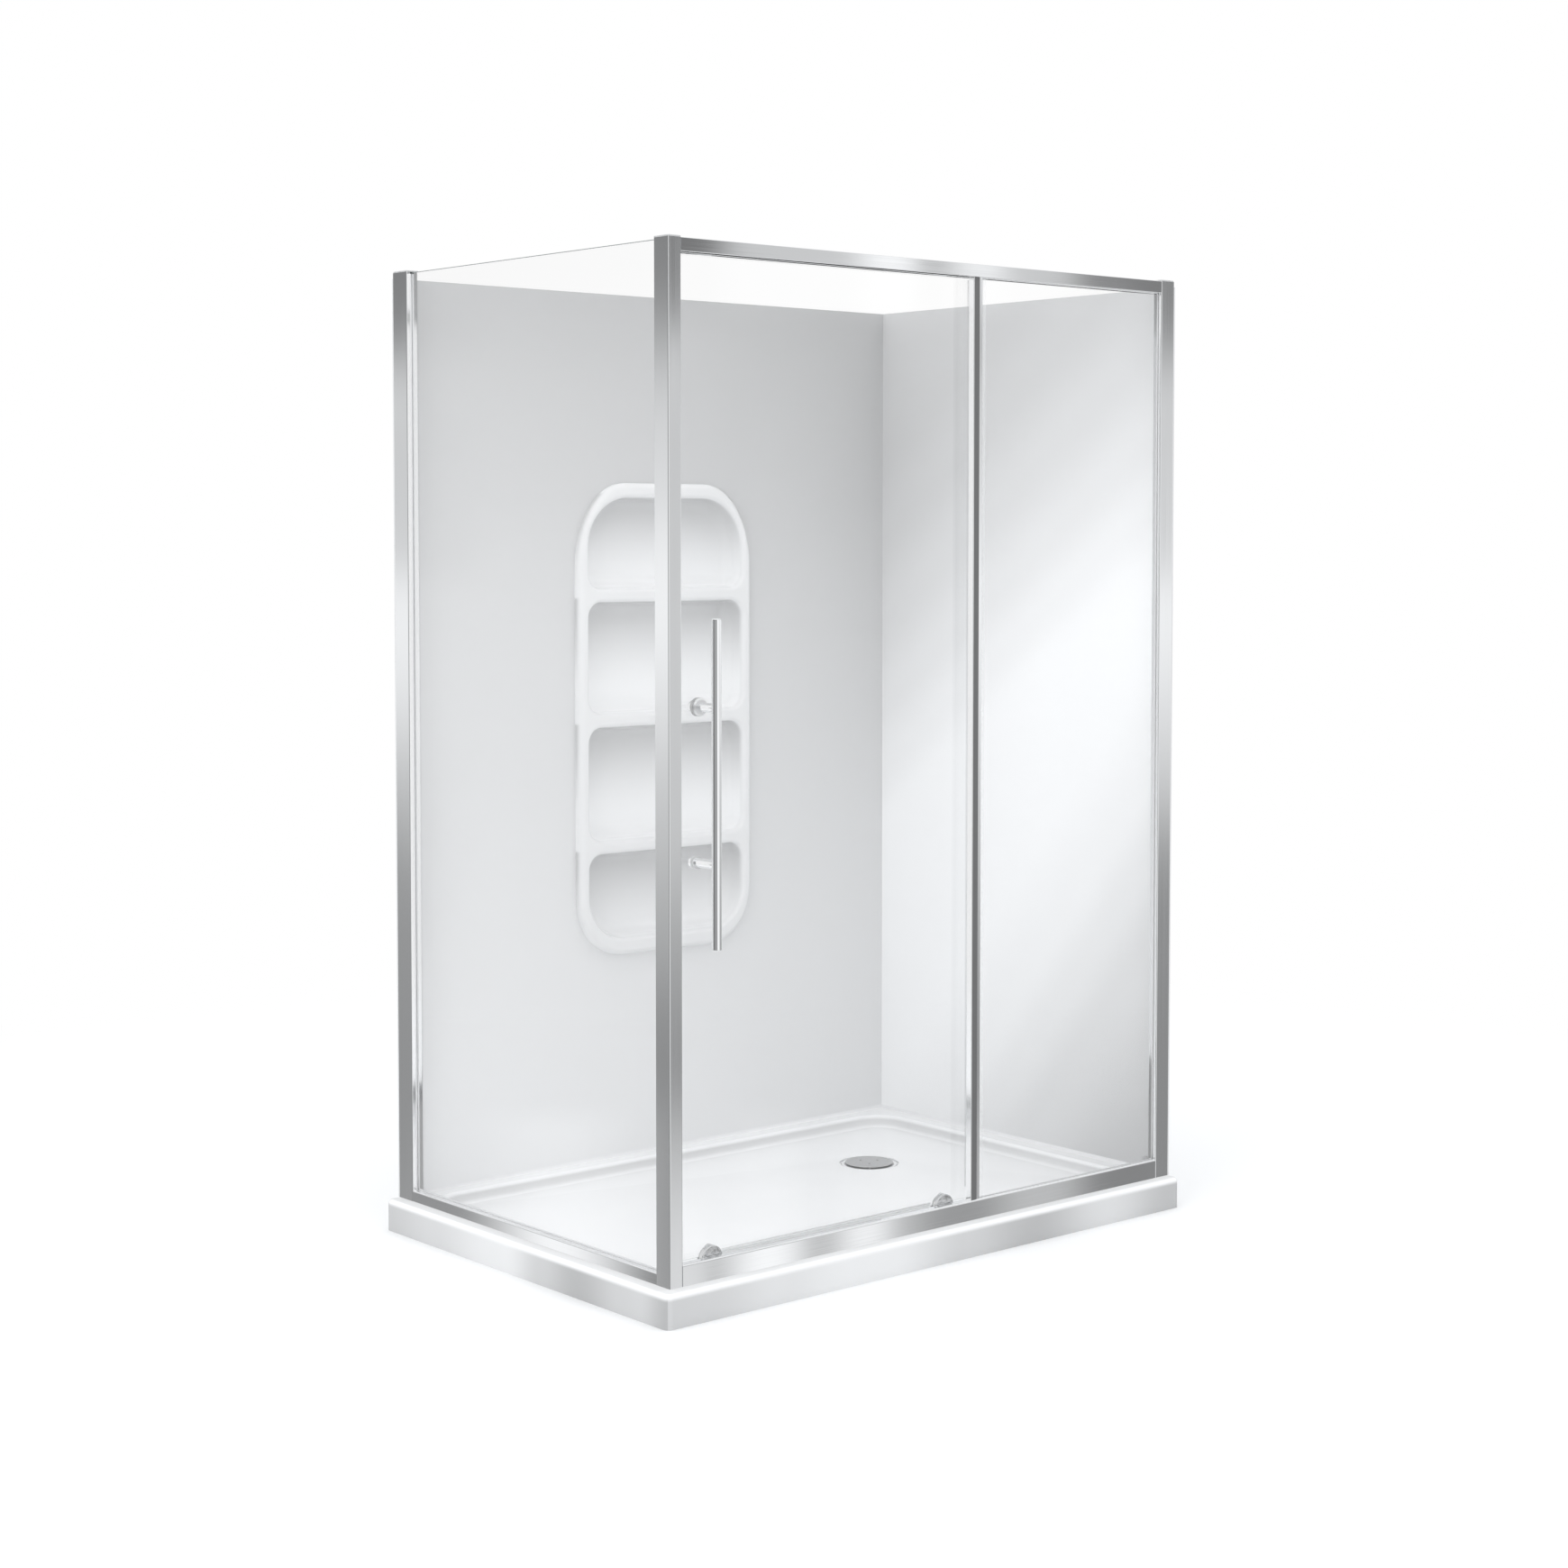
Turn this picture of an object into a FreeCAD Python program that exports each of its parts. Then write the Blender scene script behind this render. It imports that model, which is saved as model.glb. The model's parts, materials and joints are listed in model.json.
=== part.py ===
import FreeCAD, Part
import math
import os

from FreeCAD import Vector

# Shower enclosure with one sliding door: a low tray in the corner of two lined walls, a
# fixed return panel on the left, and along the front a fixed panel with a bottom-rolling
# door behind it.  Millimetres, +Z up, the door side faces -Y, the return panel is at -X.
#
# Everything below is built from the foot of the corner post: x runs to the right along
# the front face of the frame, y runs back from that face, z = 0 is the rim of the tray.
# The finished solids are then moved so that the origin is the middle of the tray's
# underside on the floor.

# ---------------------------------------------------------------- driving dimensions
TRAY_W, TRAY_D, TRAY_H = 1400.0, 950.0, 65.0
LEDGE = 30.0                      # tray rim showing outside the frame, front and left
LINER_T = 4.0                     # acrylic wall liner
LINER_EDGE = 2.0                  # tray edge left behind the liner
FRAME_H = 1920.0                  # frame above the tray rim, caps included
CAP_T = 3.0                       # end caps on the uprights
WALL = 1.8                        # wall of the aluminium extrusions
GLASS_T = 6.0

W = TRAY_W - LEDGE - LINER_EDGE - LINER_T     # post face to side liner
D = TRAY_D - LEDGE - LINER_EDGE - LINER_T     # front face to back liner
BAR_TOP = FRAME_H - CAP_T                     # top of the aluminium uprights
LINER_TOP = FRAME_H - 14.0

POST_X, POST_Y = 30.0, 42.0       # corner post; the front rails share its depth
JAMB_L_DEPTH = 50.0               # left wall jamb, along y
JAMB_R_WIDTH, JAMB_R_DEPTH = 39.0, 25.0
HEADER_H = 25.0
SILL_H = 40.0
SIDE_SILL_H = 22.0

FIXED_Y = 7.0                     # front face of the fixed glass
DOOR_Y = 29.5                     # front face of the door glass
RETURN_X = 12.0                   # outer face of the return glass
DOOR_X0, DOOR_X1 = 32.0, 800.0
DOOR_Z0, DOOR_Z1 = 38.0, 1900.0
TRAVEL = 510.0

STILE_X, STILE_W = 773.0, 24.0    # upright on the free edge of the fixed glass
STILE_Y0, STILE_Y1 = 3.0, 18.0

CARRIER_X = (116.0, 716.0)        # the two roller carriers under the door
CARRIER_R = 25.0
CARRIER_Z = 33.0
AXLE_Z = 22.3
AXLE_R = 4.0
WHEEL_R, GROOVE_R = 12.0, 10.6
RAIL_TOP = AXLE_Z - GROOVE_R - 0.3
RAIL_Y = DOOR_Y + GLASS_T / 2

HANDLE_X, HANDLE_Y = 88.0, -28.5
HANDLE_R, HANDLE_Z0, HANDLE_Z1 = 9.3, 620.0, 1228.0
STEM_Z = (1064.5, 776.5)          # upper and lower fixing of the handle

WASTE_X, WASTE_Y = 1049.0, 613.0
FLOOR_EDGE, FLOOR_LOW = -26.0, -34.0
BASE_TOP = -46.0                  # top of the board under the pan
BASE_GAP = 1.0                    # between the tray's shell and what lies under it
BASE_HOLE = 76.0                  # radius of the hole round the waste

SHELF_X, SHELF_HALF = 700.0, 240.0
SHELF_Z0, SHELF_Z1 = 452.0, 1495.0
SHELF_RIM = 20.0                  # how far the moulding stands proud of the liner
SHELF_DEPTH = 52.0                # front of the rim to the back of a compartment
SHELF_T = 4.0
SHELF_DRAFT = 0.18                # inward lean of a compartment's sides per unit of depth
SHELF_SOFT = 13.0                 # rounding round the rim's outer edge
LIP_SOFT = 9.0                    # rounding of the compartments' lips
SCOOP_COVE = 28.0                 # cove between a compartment's sides and its back
COMPARTMENTS = (                  # z low, z high, bottom corner, top corner
    (489.0, 681.0, 96.0, 36.0),
    (707.0, 960.0, 36.0, 36.0),
    (987.0, 1235.0, 36.0, 36.0),
    (1261.0, 1464.0, 36.0, 112.0),
)
COMPARTMENT_HALF = 215.0

TO_ROW = Vector(LEDGE - TRAY_W / 2, LEDGE - TRAY_D / 2, TRAY_H)

X_AXIS, Y_AXIS, Z_AXIS = Vector(1, 0, 0), Vector(0, 1, 0), Vector(0, 0, 1)


# ---------------------------------------------------------------- helpers
def plan(u, v, w):
    """Section drawn in x, y and run along z."""
    return Vector(u, v, w)


def along_x(u, v, w):
    """Section drawn in y, z and run along x."""
    return Vector(w, u, v)


def along_y(u, v, w):
    """Section drawn in x, z and run along y."""
    return Vector(u, w, v)


def ring_wire(way, u0, u1, v0, v1, w, radii):
    """Rectangle with one corner radius each, from (u0, v0) round through (u1, v0)."""
    corners = ((u0, v0), (u1, v0), (u1, v1), (u0, v1))
    into = ((1, 1), (-1, 1), (-1, -1), (1, -1))
    starts, arcs = [], []
    for (u, v), (du, dv), r in zip(corners, into, radii):
        cu, cv = u + du * r, v + dv * r
        k = r * (1 - math.sqrt(0.5))
        middle = (u + du * k, v + dv * k)
        horizontal, vertical = (cu, v), (u, cv)
        first = vertical if (du == dv) else horizontal
        last = horizontal if (du == dv) else vertical
        starts.append((first, middle, last))
    edges = []
    for i, (first, middle, last) in enumerate(starts):
        if radii[i] > 0:
            arc = Part.Arc(way(*first, w), way(*middle, w), way(*last, w))
            edges.append(arc.toShape())
        nxt = starts[(i + 1) % 4][0]
        if math.hypot(nxt[0] - last[0], nxt[1] - last[1]) > 1e-6:
            edges.append(Part.makeLine(way(*last, w), way(*nxt, w)))
    return Part.Wire(edges)


def bar(way, u0, u1, v0, v1, w0, w1, r=0.0):
    """Straight run of a rectangular section, its long edges rounded by r."""
    radii = r if isinstance(r, tuple) else (r, r, r, r)
    face = Part.Face(ring_wire(way, u0, u1, v0, v1, w0, radii))
    return face.extrude(way(0, 0, w1 - w0))


def box(x0, x1, y0, y1, z0, z1):
    return Part.makeBox(x1 - x0, y1 - y0, z1 - z0, Vector(x0, y0, z0))


def cyl(r, base, axis, length):
    return Part.makeCylinder(r, length, base, axis)


def cyl_y(r, x, z, y0, y1):
    return cyl(r, Vector(x, y0, z), Y_AXIS, y1 - y0)


def cyl_x(r, y, z, x0, x1):
    return cyl(r, Vector(x0, y, z), X_AXIS, x1 - x0)


def turned(points, base, axis):
    """Solid of revolution: points are (radius, distance along the axis); a third value
    is the radius and distance of an arc's middle point."""
    side = Vector(1, 0, 0) if abs(axis.x) < 0.5 else Vector(0, 0, 1)

    def at(p):
        return base + side * p[0] + axis * p[1]

    edges = []
    count = len(points)
    for i in range(count):
        a, b = points[i], points[(i + 1) % count]
        if len(b) > 2:
            edges.append(Part.Arc(at(a), at(b[2:]), at(b)).toShape())
        else:
            edges.append(Part.makeLine(at(a), at(b)))
    return Part.Face(Part.Wire(edges)).revolve(base, axis, 360)


def fuse(first, *others):
    return first.fuse(list(others)).removeSplitter() if others else first


def cut(body, *tools):
    return body.cut(list(tools))


def edges_where(shape, test):
    return [e for e in shape.Edges if test(e.BoundBox)]


def at_level(box_of, value, axis="Z"):
    low, high = getattr(box_of, axis + "Min"), getattr(box_of, axis + "Max")
    return abs(low - value) < 1e-3 and abs(high - value) < 1e-3


def save(name, *solids):
    moved = [s.translated(TO_ROW) for s in solids]
    shape = moved[0] if len(moved) == 1 else Part.makeCompound(moved)
    shape.exportStep(os.path.join("parts", name + ".step"))
    bad = [s for s in shape.Solids if not s.isValid() or s.Volume <= 0]
    note = "  NOT VALID" if bad or not shape.Solids else ""
    print(f"{name:26s} {len(shape.Solids):2d} solids {shape.Volume / 1000:10.1f} cm3{note}")


# ---------------------------------------------------------------- tray and its base
PAN_X0, PAN_X1 = 50.0, W - 45.0
PAN_Y0, PAN_Y1 = 57.0, D - 45.0
PAN_CORNER, PAN_COVE = 70.0, 16.0
TRAY_T = 6.0
WASTE_SEAT = 67.0                 # radius of the recess round the waste
SEAT_DEPTH = 4.0                  # its depth
WASTE_HOLE = 47.0


def circle_in_eighths(x, y, z, r):
    """A circle split like a rounded rectangle: four wide arcs and four corner arcs."""
    narrow = math.radians(12)
    stops = []
    for k in range(4):
        middle = math.radians(225 + 90 * k)
        stops += [middle - narrow, middle + narrow]
    edges = []
    for k in range(8):
        a, b = stops[k], stops[(k + 1) % 8]
        b += 2 * math.pi if b < a else 0
        points = [Vector(x + r * math.cos(t), y + r * math.sin(t), z) for t in (a, (a + b) / 2, b)]
        edges.append(Part.Arc(*points).toShape())
    return Part.Wire(edges)


def pan_space(grow, seat_depth):
    """The room inside the pan: coved walls, a floor that falls to the waste, the waste's
    recess.  grow > 0 gives the pan's underside."""
    x0, x1, y0, y1 = PAN_X0 - grow, PAN_X1 + grow, PAN_Y0 - grow, PAN_Y1 + grow
    corner, cove = PAN_CORNER + grow, PAN_COVE + grow
    bottom = FLOOR_EDGE - grow
    well = bar(plan, x0, x1, y0, y1, bottom, 20, corner)
    well = well.makeFillet(cove, edges_where(well, lambda b: at_level(b, bottom)))
    top = ring_wire(plan, x0 + cove, x1 - cove, y0 + cove, y1 - cove, bottom, [corner - cove] * 4)
    low = circle_in_eighths(WASTE_X, WASTE_Y, FLOOR_LOW - grow, WASTE_SEAT + 5 + grow)
    fall = Part.makeLoft([low, top], True, True)
    seat_floor = Vector(WASTE_X, WASTE_Y, FLOOR_LOW - seat_depth - grow)
    seat = cyl(WASTE_SEAT + grow, seat_floor, Z_AXIS, seat_depth + 1)
    return fuse(well, fall, seat)


def shower_tray():
    x0, y0 = -LEDGE, -LEDGE
    x1, y1 = TRAY_W - LEDGE, TRAY_D - LEDGE
    block = bar(plan, x0, x1, y0, y1, -TRAY_H, 0, 14)
    block = block.makeFillet(8, edges_where(block, lambda b: at_level(b, 0)))
    t = TRAY_T
    under = bar(plan, x0 + t, x1 - t, y0 + t, y1 - t, -TRAY_H - 1, -t, 8)
    under = cut(under, pan_space(t, SEAT_DEPTH))
    hole = cyl(WASTE_HOLE, Vector(WASTE_X, WASTE_Y, -TRAY_H), Z_AXIS, TRAY_H)
    tray = cut(block, under, pan_space(0, SEAT_DEPTH), hole)

    def inside(b):
        return b.XMin > 0 and b.YMin > 0 and b.YMax < D and b.XMax < W

    return tray.makeFillet(7, edges_where(tray, lambda b: at_level(b, 0) and inside(b)))


def tray_base():
    """Board under the pan, and four battens on it that lie under the tray's edge."""
    t = TRAY_T + BASE_GAP
    x0, y0 = -LEDGE + t, -LEDGE + t
    x1, y1 = TRAY_W - LEDGE - t, TRAY_D - LEDGE - t
    r = 8.0
    board = bar(plan, x0, x1, y0, y1, -TRAY_H, BASE_TOP, r)
    hole = cyl(BASE_HOLE, Vector(WASTE_X, WASTE_Y, -TRAY_H), Z_AXIS, TRAY_H)
    save("tray_underlay", cut(board, hole))
    left, right, front, back = PAN_X0 - t, PAN_X1 + t, PAN_Y0 - t, PAN_Y1 + t
    level = (BASE_TOP, -t)
    long_ones = (bar(plan, x0, x1, y0, front, *level, (r, r, 0, 0)),
                 bar(plan, x0, x1, back, y1, *level, (0, 0, r, r)))
    short_ones = (box(x0, left, front, back, *level), box(right, x1, front, back, *level))
    save("edge_battens", *long_ones, *short_ones)


# ---------------------------------------------------------------- waste
FLANGE_R, SLEEVE_R, SLEEVE_BORE = 64.0, 45.5, 40.0
BODY_R, BODY_BORE = 66.0, 46.0
PIPE_R, PIPE_BORE = 25.0, 22.0
PIPE_TOP, PIPE_END = -57.0, -64.0


def waste():
    base = Vector(WASTE_X, WASTE_Y, 0)
    seat = FLOOR_LOW - SEAT_DEPTH
    under = seat - TRAY_T
    rim, r = seat + 2, FLANGE_R
    ring = turned([(SLEEVE_BORE, rim), (r - 3, rim), (r, rim - 1.4, r - 0.7, rim - 0.4), (r, seat),
                   (SLEEVE_R, seat), (SLEEVE_R, -51), (SLEEVE_BORE, -51)], base, Z_AXIS)
    top = under - 2
    gasket = turned([(WASTE_HOLE + 0.5, under), (BODY_R, under), (BODY_R, top), (WASTE_HOLE + 0.5, top)],
                    base, Z_AXIS)
    outside = [(BODY_R, top), (BODY_R, top - 3), (52, top - 3), (50, top - 8, 51.6, top - 6),
               (PIPE_R + 2, PIPE_TOP + 0.5), (PIPE_R, PIPE_TOP), (PIPE_R, PIPE_END)]
    inside = [(PIPE_BORE, PIPE_END), (PIPE_BORE, PIPE_TOP + 2), (BODY_BORE, top - 6), (BODY_BORE, top)]
    bowl = turned(outside + inside, base, Z_AXIS)
    save("waste_flange", ring)
    save("waste_gasket", gasket)
    save("waste_body", bowl)


COVER_R = 54.0
COVER_PIN_RADIUS = 22.0
COVER_PIN_ANGLES = (109.5, 229.5, 349.5)
STRAINER_R, STRAINER_LOW, STRAINER_RIM = 39.0, -50.0, -38.0
STRAINER_T = 2.0
STRAINER_SLOTS, FIRST_SLOT = 6, 19.5     # midway between the pins


def drain_cover():
    """Lift-out cover: crowned plate, three pins and the hair strainer that hangs on them."""
    base = Vector(WASTE_X, WASTE_Y, 0)
    top = FLOOR_LOW + 3.5
    under = top - 2.6
    r = COVER_R
    plate = turned([(0, under), (r - 2, under), (r, top - 2.0), (r - 1.5, top - 0.6, r - 0.2, top - 1.1),
                    (0, top)], base, Z_AXIS)
    pins, feet = [], []
    for angle in COVER_PIN_ANGLES:
        a = math.radians(angle)
        out = Vector(math.cos(a), math.sin(a), 0)
        at = base + out * COVER_PIN_RADIUS
        pin = fuse(cyl(2.5, at + Z_AXIS * STRAINER_LOW, Z_AXIS, top + 0.4 - STRAINER_LOW),
                   cyl(3.6, at + Z_AXIS * (under - 2), Z_AXIS, 2))
        pins.append(pin)
        feet.append(cyl(2.5, base + out * (r - 4) + Z_AXIS * (top - 5.0), Z_AXIS, 3))
    plate = cut(fuse(plate, *feet), *pins)
    low, inner = STRAINER_LOW, STRAINER_R - STRAINER_T
    cup = turned([(0, low), (inner, low), (STRAINER_R, low + 2, STRAINER_R - 0.6, low + 0.6),
                  (STRAINER_R, STRAINER_RIM), (inner, STRAINER_RIM), (inner, low + STRAINER_T),
                  (0, low + STRAINER_T)], base, Z_AXIS)
    slots = []
    for k in range(STRAINER_SLOTS):
        slot = box(10, 33, -2, 2, low - 1, low + STRAINER_T + 1).translated(base)
        slots.append(slot.rotate(base, Z_AXIS, FIRST_SLOT + 360 / STRAINER_SLOTS * k))
    cup = fuse(cut(cup, *slots, *pins))
    save("drain_cover", plate)
    save("cover_pins", *pins)
    save("hair_strainer", cup)


# ---------------------------------------------------------------- wall liners and shelf
FIX_R = 2.75
FIX_Z = (120.0, 680.0, 1240.0, 1800.0)
CHANNEL_L_X = POST_X / 2
CHANNEL_R_Y = JAMB_R_DEPTH / 2


def shelf_outline(inset, y):
    """Tall rounded outline with long elliptical corners, wider at the top."""
    half = SHELF_HALF - inset
    z0, z1 = SHELF_Z0 + inset, SHELF_Z1 - inset
    low_a, low_b = 120 - inset, 130 - inset
    top_a, top_b = 132 - inset, 185 - inset

    def corner(cx, cz, a, b, start):
        points = []
        for k in range(3):
            t = math.radians(start + 45 * k)
            points.append((t, Vector(cx + a * math.cos(t), y, cz + b * math.sin(t))))
        if b >= a:
            ellipse = Part.Ellipse(Vector(cx, y, cz + b), Vector(cx + a, y, cz), Vector(cx, y, cz))
        else:
            ellipse = Part.Ellipse(Vector(cx + a, y, cz), Vector(cx, y, cz + b), Vector(cx, y, cz))
        first = ellipse.parameter(points[0][1])
        last = ellipse.parameter(points[2][1])
        middle = ellipse.parameter(points[1][1])
        lo, hi = min(first, last), max(first, last)
        if not lo < middle < hi:
            lo, hi = hi, lo + 2 * math.pi
        return Part.ArcOfEllipse(ellipse, lo, hi).toShape()

    left, right = SHELF_X - half, SHELF_X + half
    arcs = [
        corner(left + low_a, z0 + low_b, low_a, low_b, 180),
        corner(right - low_a, z0 + low_b, low_a, low_b, 270),
        corner(right - top_a, z1 - top_b, top_a, top_b, 0),
        corner(left + top_a, z1 - top_b, top_a, top_b, 90),
    ]
    lines = [
        Part.makeLine(Vector(left + low_a, y, z0), Vector(right - low_a, y, z0)),
        Part.makeLine(Vector(right, y, z0 + low_b), Vector(right, y, z1 - top_b)),
        Part.makeLine(Vector(right - top_a, y, z1), Vector(left + top_a, y, z1)),
        Part.makeLine(Vector(left, y, z1 - top_b), Vector(left, y, z0 + low_b)),
    ]
    return Part.Wire(Part.__sortEdges__(arcs + lines))


def shelf_block(inset, y0, y1):
    return Part.Face(shelf_outline(inset, y0)).extrude(Y_AXIS * (y1 - y0))


SHELF_FRONT = D - SHELF_RIM
SHELF_BACK = SHELF_FRONT + SHELF_DEPTH


def compartment(z0, z1, low_r, top_r, grow, y0, y1):
    """One scooped shelf: drafted sides, rounded corners and a wide cove round its back."""

    def outline(y):
        out = grow - (y - SHELF_FRONT) * SHELF_DRAFT
        half = COMPARTMENT_HALF + out
        radii = (low_r + out, low_r + out, top_r + out, top_r + out)
        return ring_wire(along_y, SHELF_X - half, SHELF_X + half, z0 - out, z1 + out, y, radii)

    scoop = Part.makeLoft([outline(y0), outline(y1)], True, True)
    back = edges_where(scoop, lambda b: at_level(b, y1, "Y"))
    return scoop.makeFillet(SCOOP_COVE + grow, back)


def moulded_shelf():
    """Column of four scooped shelves: a soft rim in front of the liner, cups behind it."""
    rim = shelf_block(0, SHELF_FRONT, D)
    rim = rim.makeFillet(SHELF_SOFT, edges_where(rim, lambda b: at_level(b, SHELF_FRONT, "Y")))
    cups = [compartment(*c, SHELF_T, SHELF_FRONT + SHELF_SOFT, SHELF_BACK + SHELF_T) for c in COMPARTMENTS]
    scoops = [compartment(*c, 0, SHELF_FRONT - 5, SHELF_BACK) for c in COMPARTMENTS]
    shell = cut(fuse(rim, *cups), *scoops)
    flat_half = SHELF_HALF - SHELF_SOFT - 1
    lips = edges_where(shell, lambda b: at_level(b, SHELF_FRONT, "Y") and is_lip(b, flat_half))
    return shell.makeFillet(LIP_SOFT, lips)


def is_lip(b, flat_half):
    """True for an edge that lies within one compartment's own mouth, not round the rim."""
    within_x = b.XMin > SHELF_X - flat_half and b.XMax < SHELF_X + flat_half
    return within_x and any(b.ZMin > c[0] - 0.5 and b.ZMax < c[1] + 0.5 for c in COMPARTMENTS)


def wall_liners():
    """Two flat acrylic sheets that stand on the tray's rim and butt in the corner."""
    back = box(0, W + LINER_T, D, D + LINER_T, 0, LINER_TOP)
    opening = shelf_block(15, D - 1, D + LINER_T + 1)
    holes = [cyl_y(FIX_R, CHANNEL_L_X, z, D - 1, D + LINER_T + 1) for z in FIX_Z]
    save("wall_liner_back", cut(back, opening, *holes))
    side = box(W, W + LINER_T, 0, D, 0, LINER_TOP)
    holes = [cyl_x(FIX_R, CHANNEL_R_Y, z, W - 1, W + LINER_T + 1) for z in FIX_Z]
    save("wall_liner_side", cut(side, *holes))


BEAD = 7.0                        # size and hollow radius of the sealant


def sealant_bead():
    """Hollow-faced fillet of sealant along the foot of both liners, from jamb to jamb."""
    reach = BEAD * (1 - math.sqrt(0.5))

    def run(way, wall, start, end):
        foot, edge = way(wall - BEAD, 0, start), way(wall, BEAD, start)
        face = Part.Arc(foot, way(wall - reach, reach, start), edge).toShape()
        corner = way(wall, 0, start)
        section = Part.Wire([face, Part.makeLine(edge, corner), Part.makeLine(corner, foot)])
        return Part.Face(section).extrude(way(0, 0, end - start))

    return fuse(run(along_x, D, POST_X, W), run(along_y, W, POST_Y, D))


# ---------------------------------------------------------------- uprights
SCREW_R = 2.0
JAMB_SCREW_Z = (150.0, 960.0, 1770.0)
LEFT_Y0 = D - JAMB_L_DEPTH
RIGHT_X0 = W - JAMB_R_WIDTH
SLOT_HALF = 6.0                   # glazing slot of the return panel, half its width
FIXED_SLOT = (4.5, 15.5)          # glazing slot of the fixed glass, in y
CONNECT_Y = 20.3                  # screw line of the header's connector blocks
HEADER_Z0 = BAR_TOP - HEADER_H
CONNECT_Z = HEADER_Z0 + 11.5
SILL_CONNECT_Y, SILL_CONNECT_Z = 9.0, 7.5


def corner_post():
    slot_x = (RETURN_X + GLASS_T / 2 - SLOT_HALF, RETURN_X + GLASS_T / 2 + SLOT_HALF)
    post = bar(plan, 0, POST_X, 0, POST_Y, 0, BAR_TOP, 2)
    room = bar(plan, WALL, POST_X - WALL, WALL, 25, -1, BAR_TOP + 1, 1)
    pocket = box(*slot_x, 30, POST_Y + 1, -1, BAR_TOP + 1)
    strike = box(24, POST_X + 1, 27, 38, -1, BAR_TOP + 1)
    void = box(WALL, slot_x[0] - WALL, 27, POST_Y - WALL, -1, BAR_TOP + 1)
    holes = [cyl_x(SCREW_R + 0.1, CONNECT_Y, CONNECT_Z, POST_X - 4, POST_X + 1),
             cyl_x(SCREW_R + 0.1, SILL_CONNECT_Y, SILL_CONNECT_Z, POST_X - 4, POST_X + 1)]
    return cut(post, room, pocket, strike, void, *holes)


def jamb_left():
    slot_x = (RETURN_X + GLASS_T / 2 - SLOT_HALF, RETURN_X + GLASS_T / 2 + SLOT_HALF)
    y0 = LEFT_Y0
    body = bar(plan, 0, POST_X, y0, D, 0, BAR_TOP, (2, 2, 0, 0))
    slot = box(*slot_x, y0 - 1, y0 + 14, -1, BAR_TOP + 1)
    rear = box(2, POST_X - 2, y0 + 20, D + 1, -1, BAR_TOP + 1)
    voids = [box(2, slot_x[0] - 1.6, y0 + 2, y0 + 18, -1, BAR_TOP + 1),
             box(slot_x[1] + 1.6, POST_X - 2, y0 + 2, y0 + 18, -1, BAR_TOP + 1)]
    holes = [cyl_x(SCREW_R + 0.1, D - 15, z, POST_X - 4, POST_X + 1) for z in JAMB_SCREW_Z]
    return cut(body, slot, rear, *voids, *holes)


def wall_channel_left():
    y0 = LEFT_Y0 + 22
    x0, x1 = 2.6, POST_X - 2.6
    body = box(x0, x1, y0, D, 0, BAR_TOP - 6)
    room = box(x0 + WALL, x1 - WALL, y0 - 1, D - 2, -1, BAR_TOP)
    holes = [cyl_y(FIX_R, CHANNEL_L_X, z, D - 3, D + 1) for z in FIX_Z]
    screws = [cyl_x(SCREW_R, D - 15, z, x1 - 4, x1 + 1) for z in JAMB_SCREW_Z]
    return cut(body, room, *holes, *screws)


def jamb_right():
    x0, y1 = RIGHT_X0, JAMB_R_DEPTH
    body = bar(plan, x0, W, 0, y1, 0, BAR_TOP, (2, 0, 0, 2))
    slot = box(x0 - 1, x0 + 14, *FIXED_SLOT, -1, BAR_TOP + 1)
    rear = box(x0 + 20, W + 1, 2, y1 - 2, -1, BAR_TOP + 1)
    void = box(x0 + 2, x0 + 18, 17.4, y1 - 2, -1, BAR_TOP + 1)
    holes = [cyl_y(SCREW_R + 0.1, W - 9, z, y1 - 4, y1 + 1) for z in JAMB_SCREW_Z]
    connect = cyl_x(SCREW_R + 0.1, CONNECT_Y, CONNECT_Z, x0 - 1, x0 + 3)
    return cut(body, slot, rear, void, connect, *holes)


def wall_channel_right():
    x0, y0, y1 = W - 17, 2.6, JAMB_R_DEPTH - 2.6
    body = box(x0, W, y0, y1, 0, BAR_TOP - 6)
    room = box(x0 - 1, W - 2, y0 + WALL, y1 - WALL, -1, BAR_TOP)
    holes = [cyl_x(FIX_R, CHANNEL_R_Y, z, W - 3, W + 1) for z in FIX_Z]
    screws = [cyl_y(SCREW_R, W - 9, z, y1 - 4, y1 + 1) for z in JAMB_SCREW_Z]
    return cut(body, room, *holes, *screws)


def cap(x0, x1, y0, y1, plug, r=2.0):
    """Moulded end cap with a plug that drops into the upright's chamber."""
    top = bar(plan, x0, x1, y0, y1, BAR_TOP, FRAME_H, r)
    top = top.makeFillet(1.2, edges_where(top, lambda b: at_level(b, FRAME_H)))
    return fuse(top, box(*plug, BAR_TOP - 9, BAR_TOP))


def pan_head_screw(tip, head, axis, reach, head_r=3.4, head_h=2.4):
    """Screw of SCREW_R from the point tip; its bevelled head starts at reach."""
    shank = cyl(SCREW_R, tip, axis, reach)
    side = [(head_r, 0), (head_r, head_h * 0.5), (head_r * 0.7, head_h)]
    return fuse(shank, turned([(0, 0)] + side + [(0, head_h)], head, axis))


def jamb_screws():
    screws = []
    for z in JAMB_SCREW_Z:
        left = Vector(POST_X, D - 15, z)
        screws.append(pan_head_screw(left - X_AXIS * 9, left, X_AXIS, 9))
        right = Vector(W - 9, JAMB_R_DEPTH, z)
        screws.append(pan_head_screw(right - Y_AXIS * 9, right, Y_AXIS, 9))
    save("jamb_screws", *screws)


# ---------------------------------------------------------------- rails
GUIDE_SLOT = (27.5, 37.5)
GUIDE_TOP = HEADER_Z0 + 17.5
SLOT_FLOOR = 15.0                 # floor of the sill's glazing slot
SILL_WALL_Y = 18.0                # rear face of the wall between glazing slot and track


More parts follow.
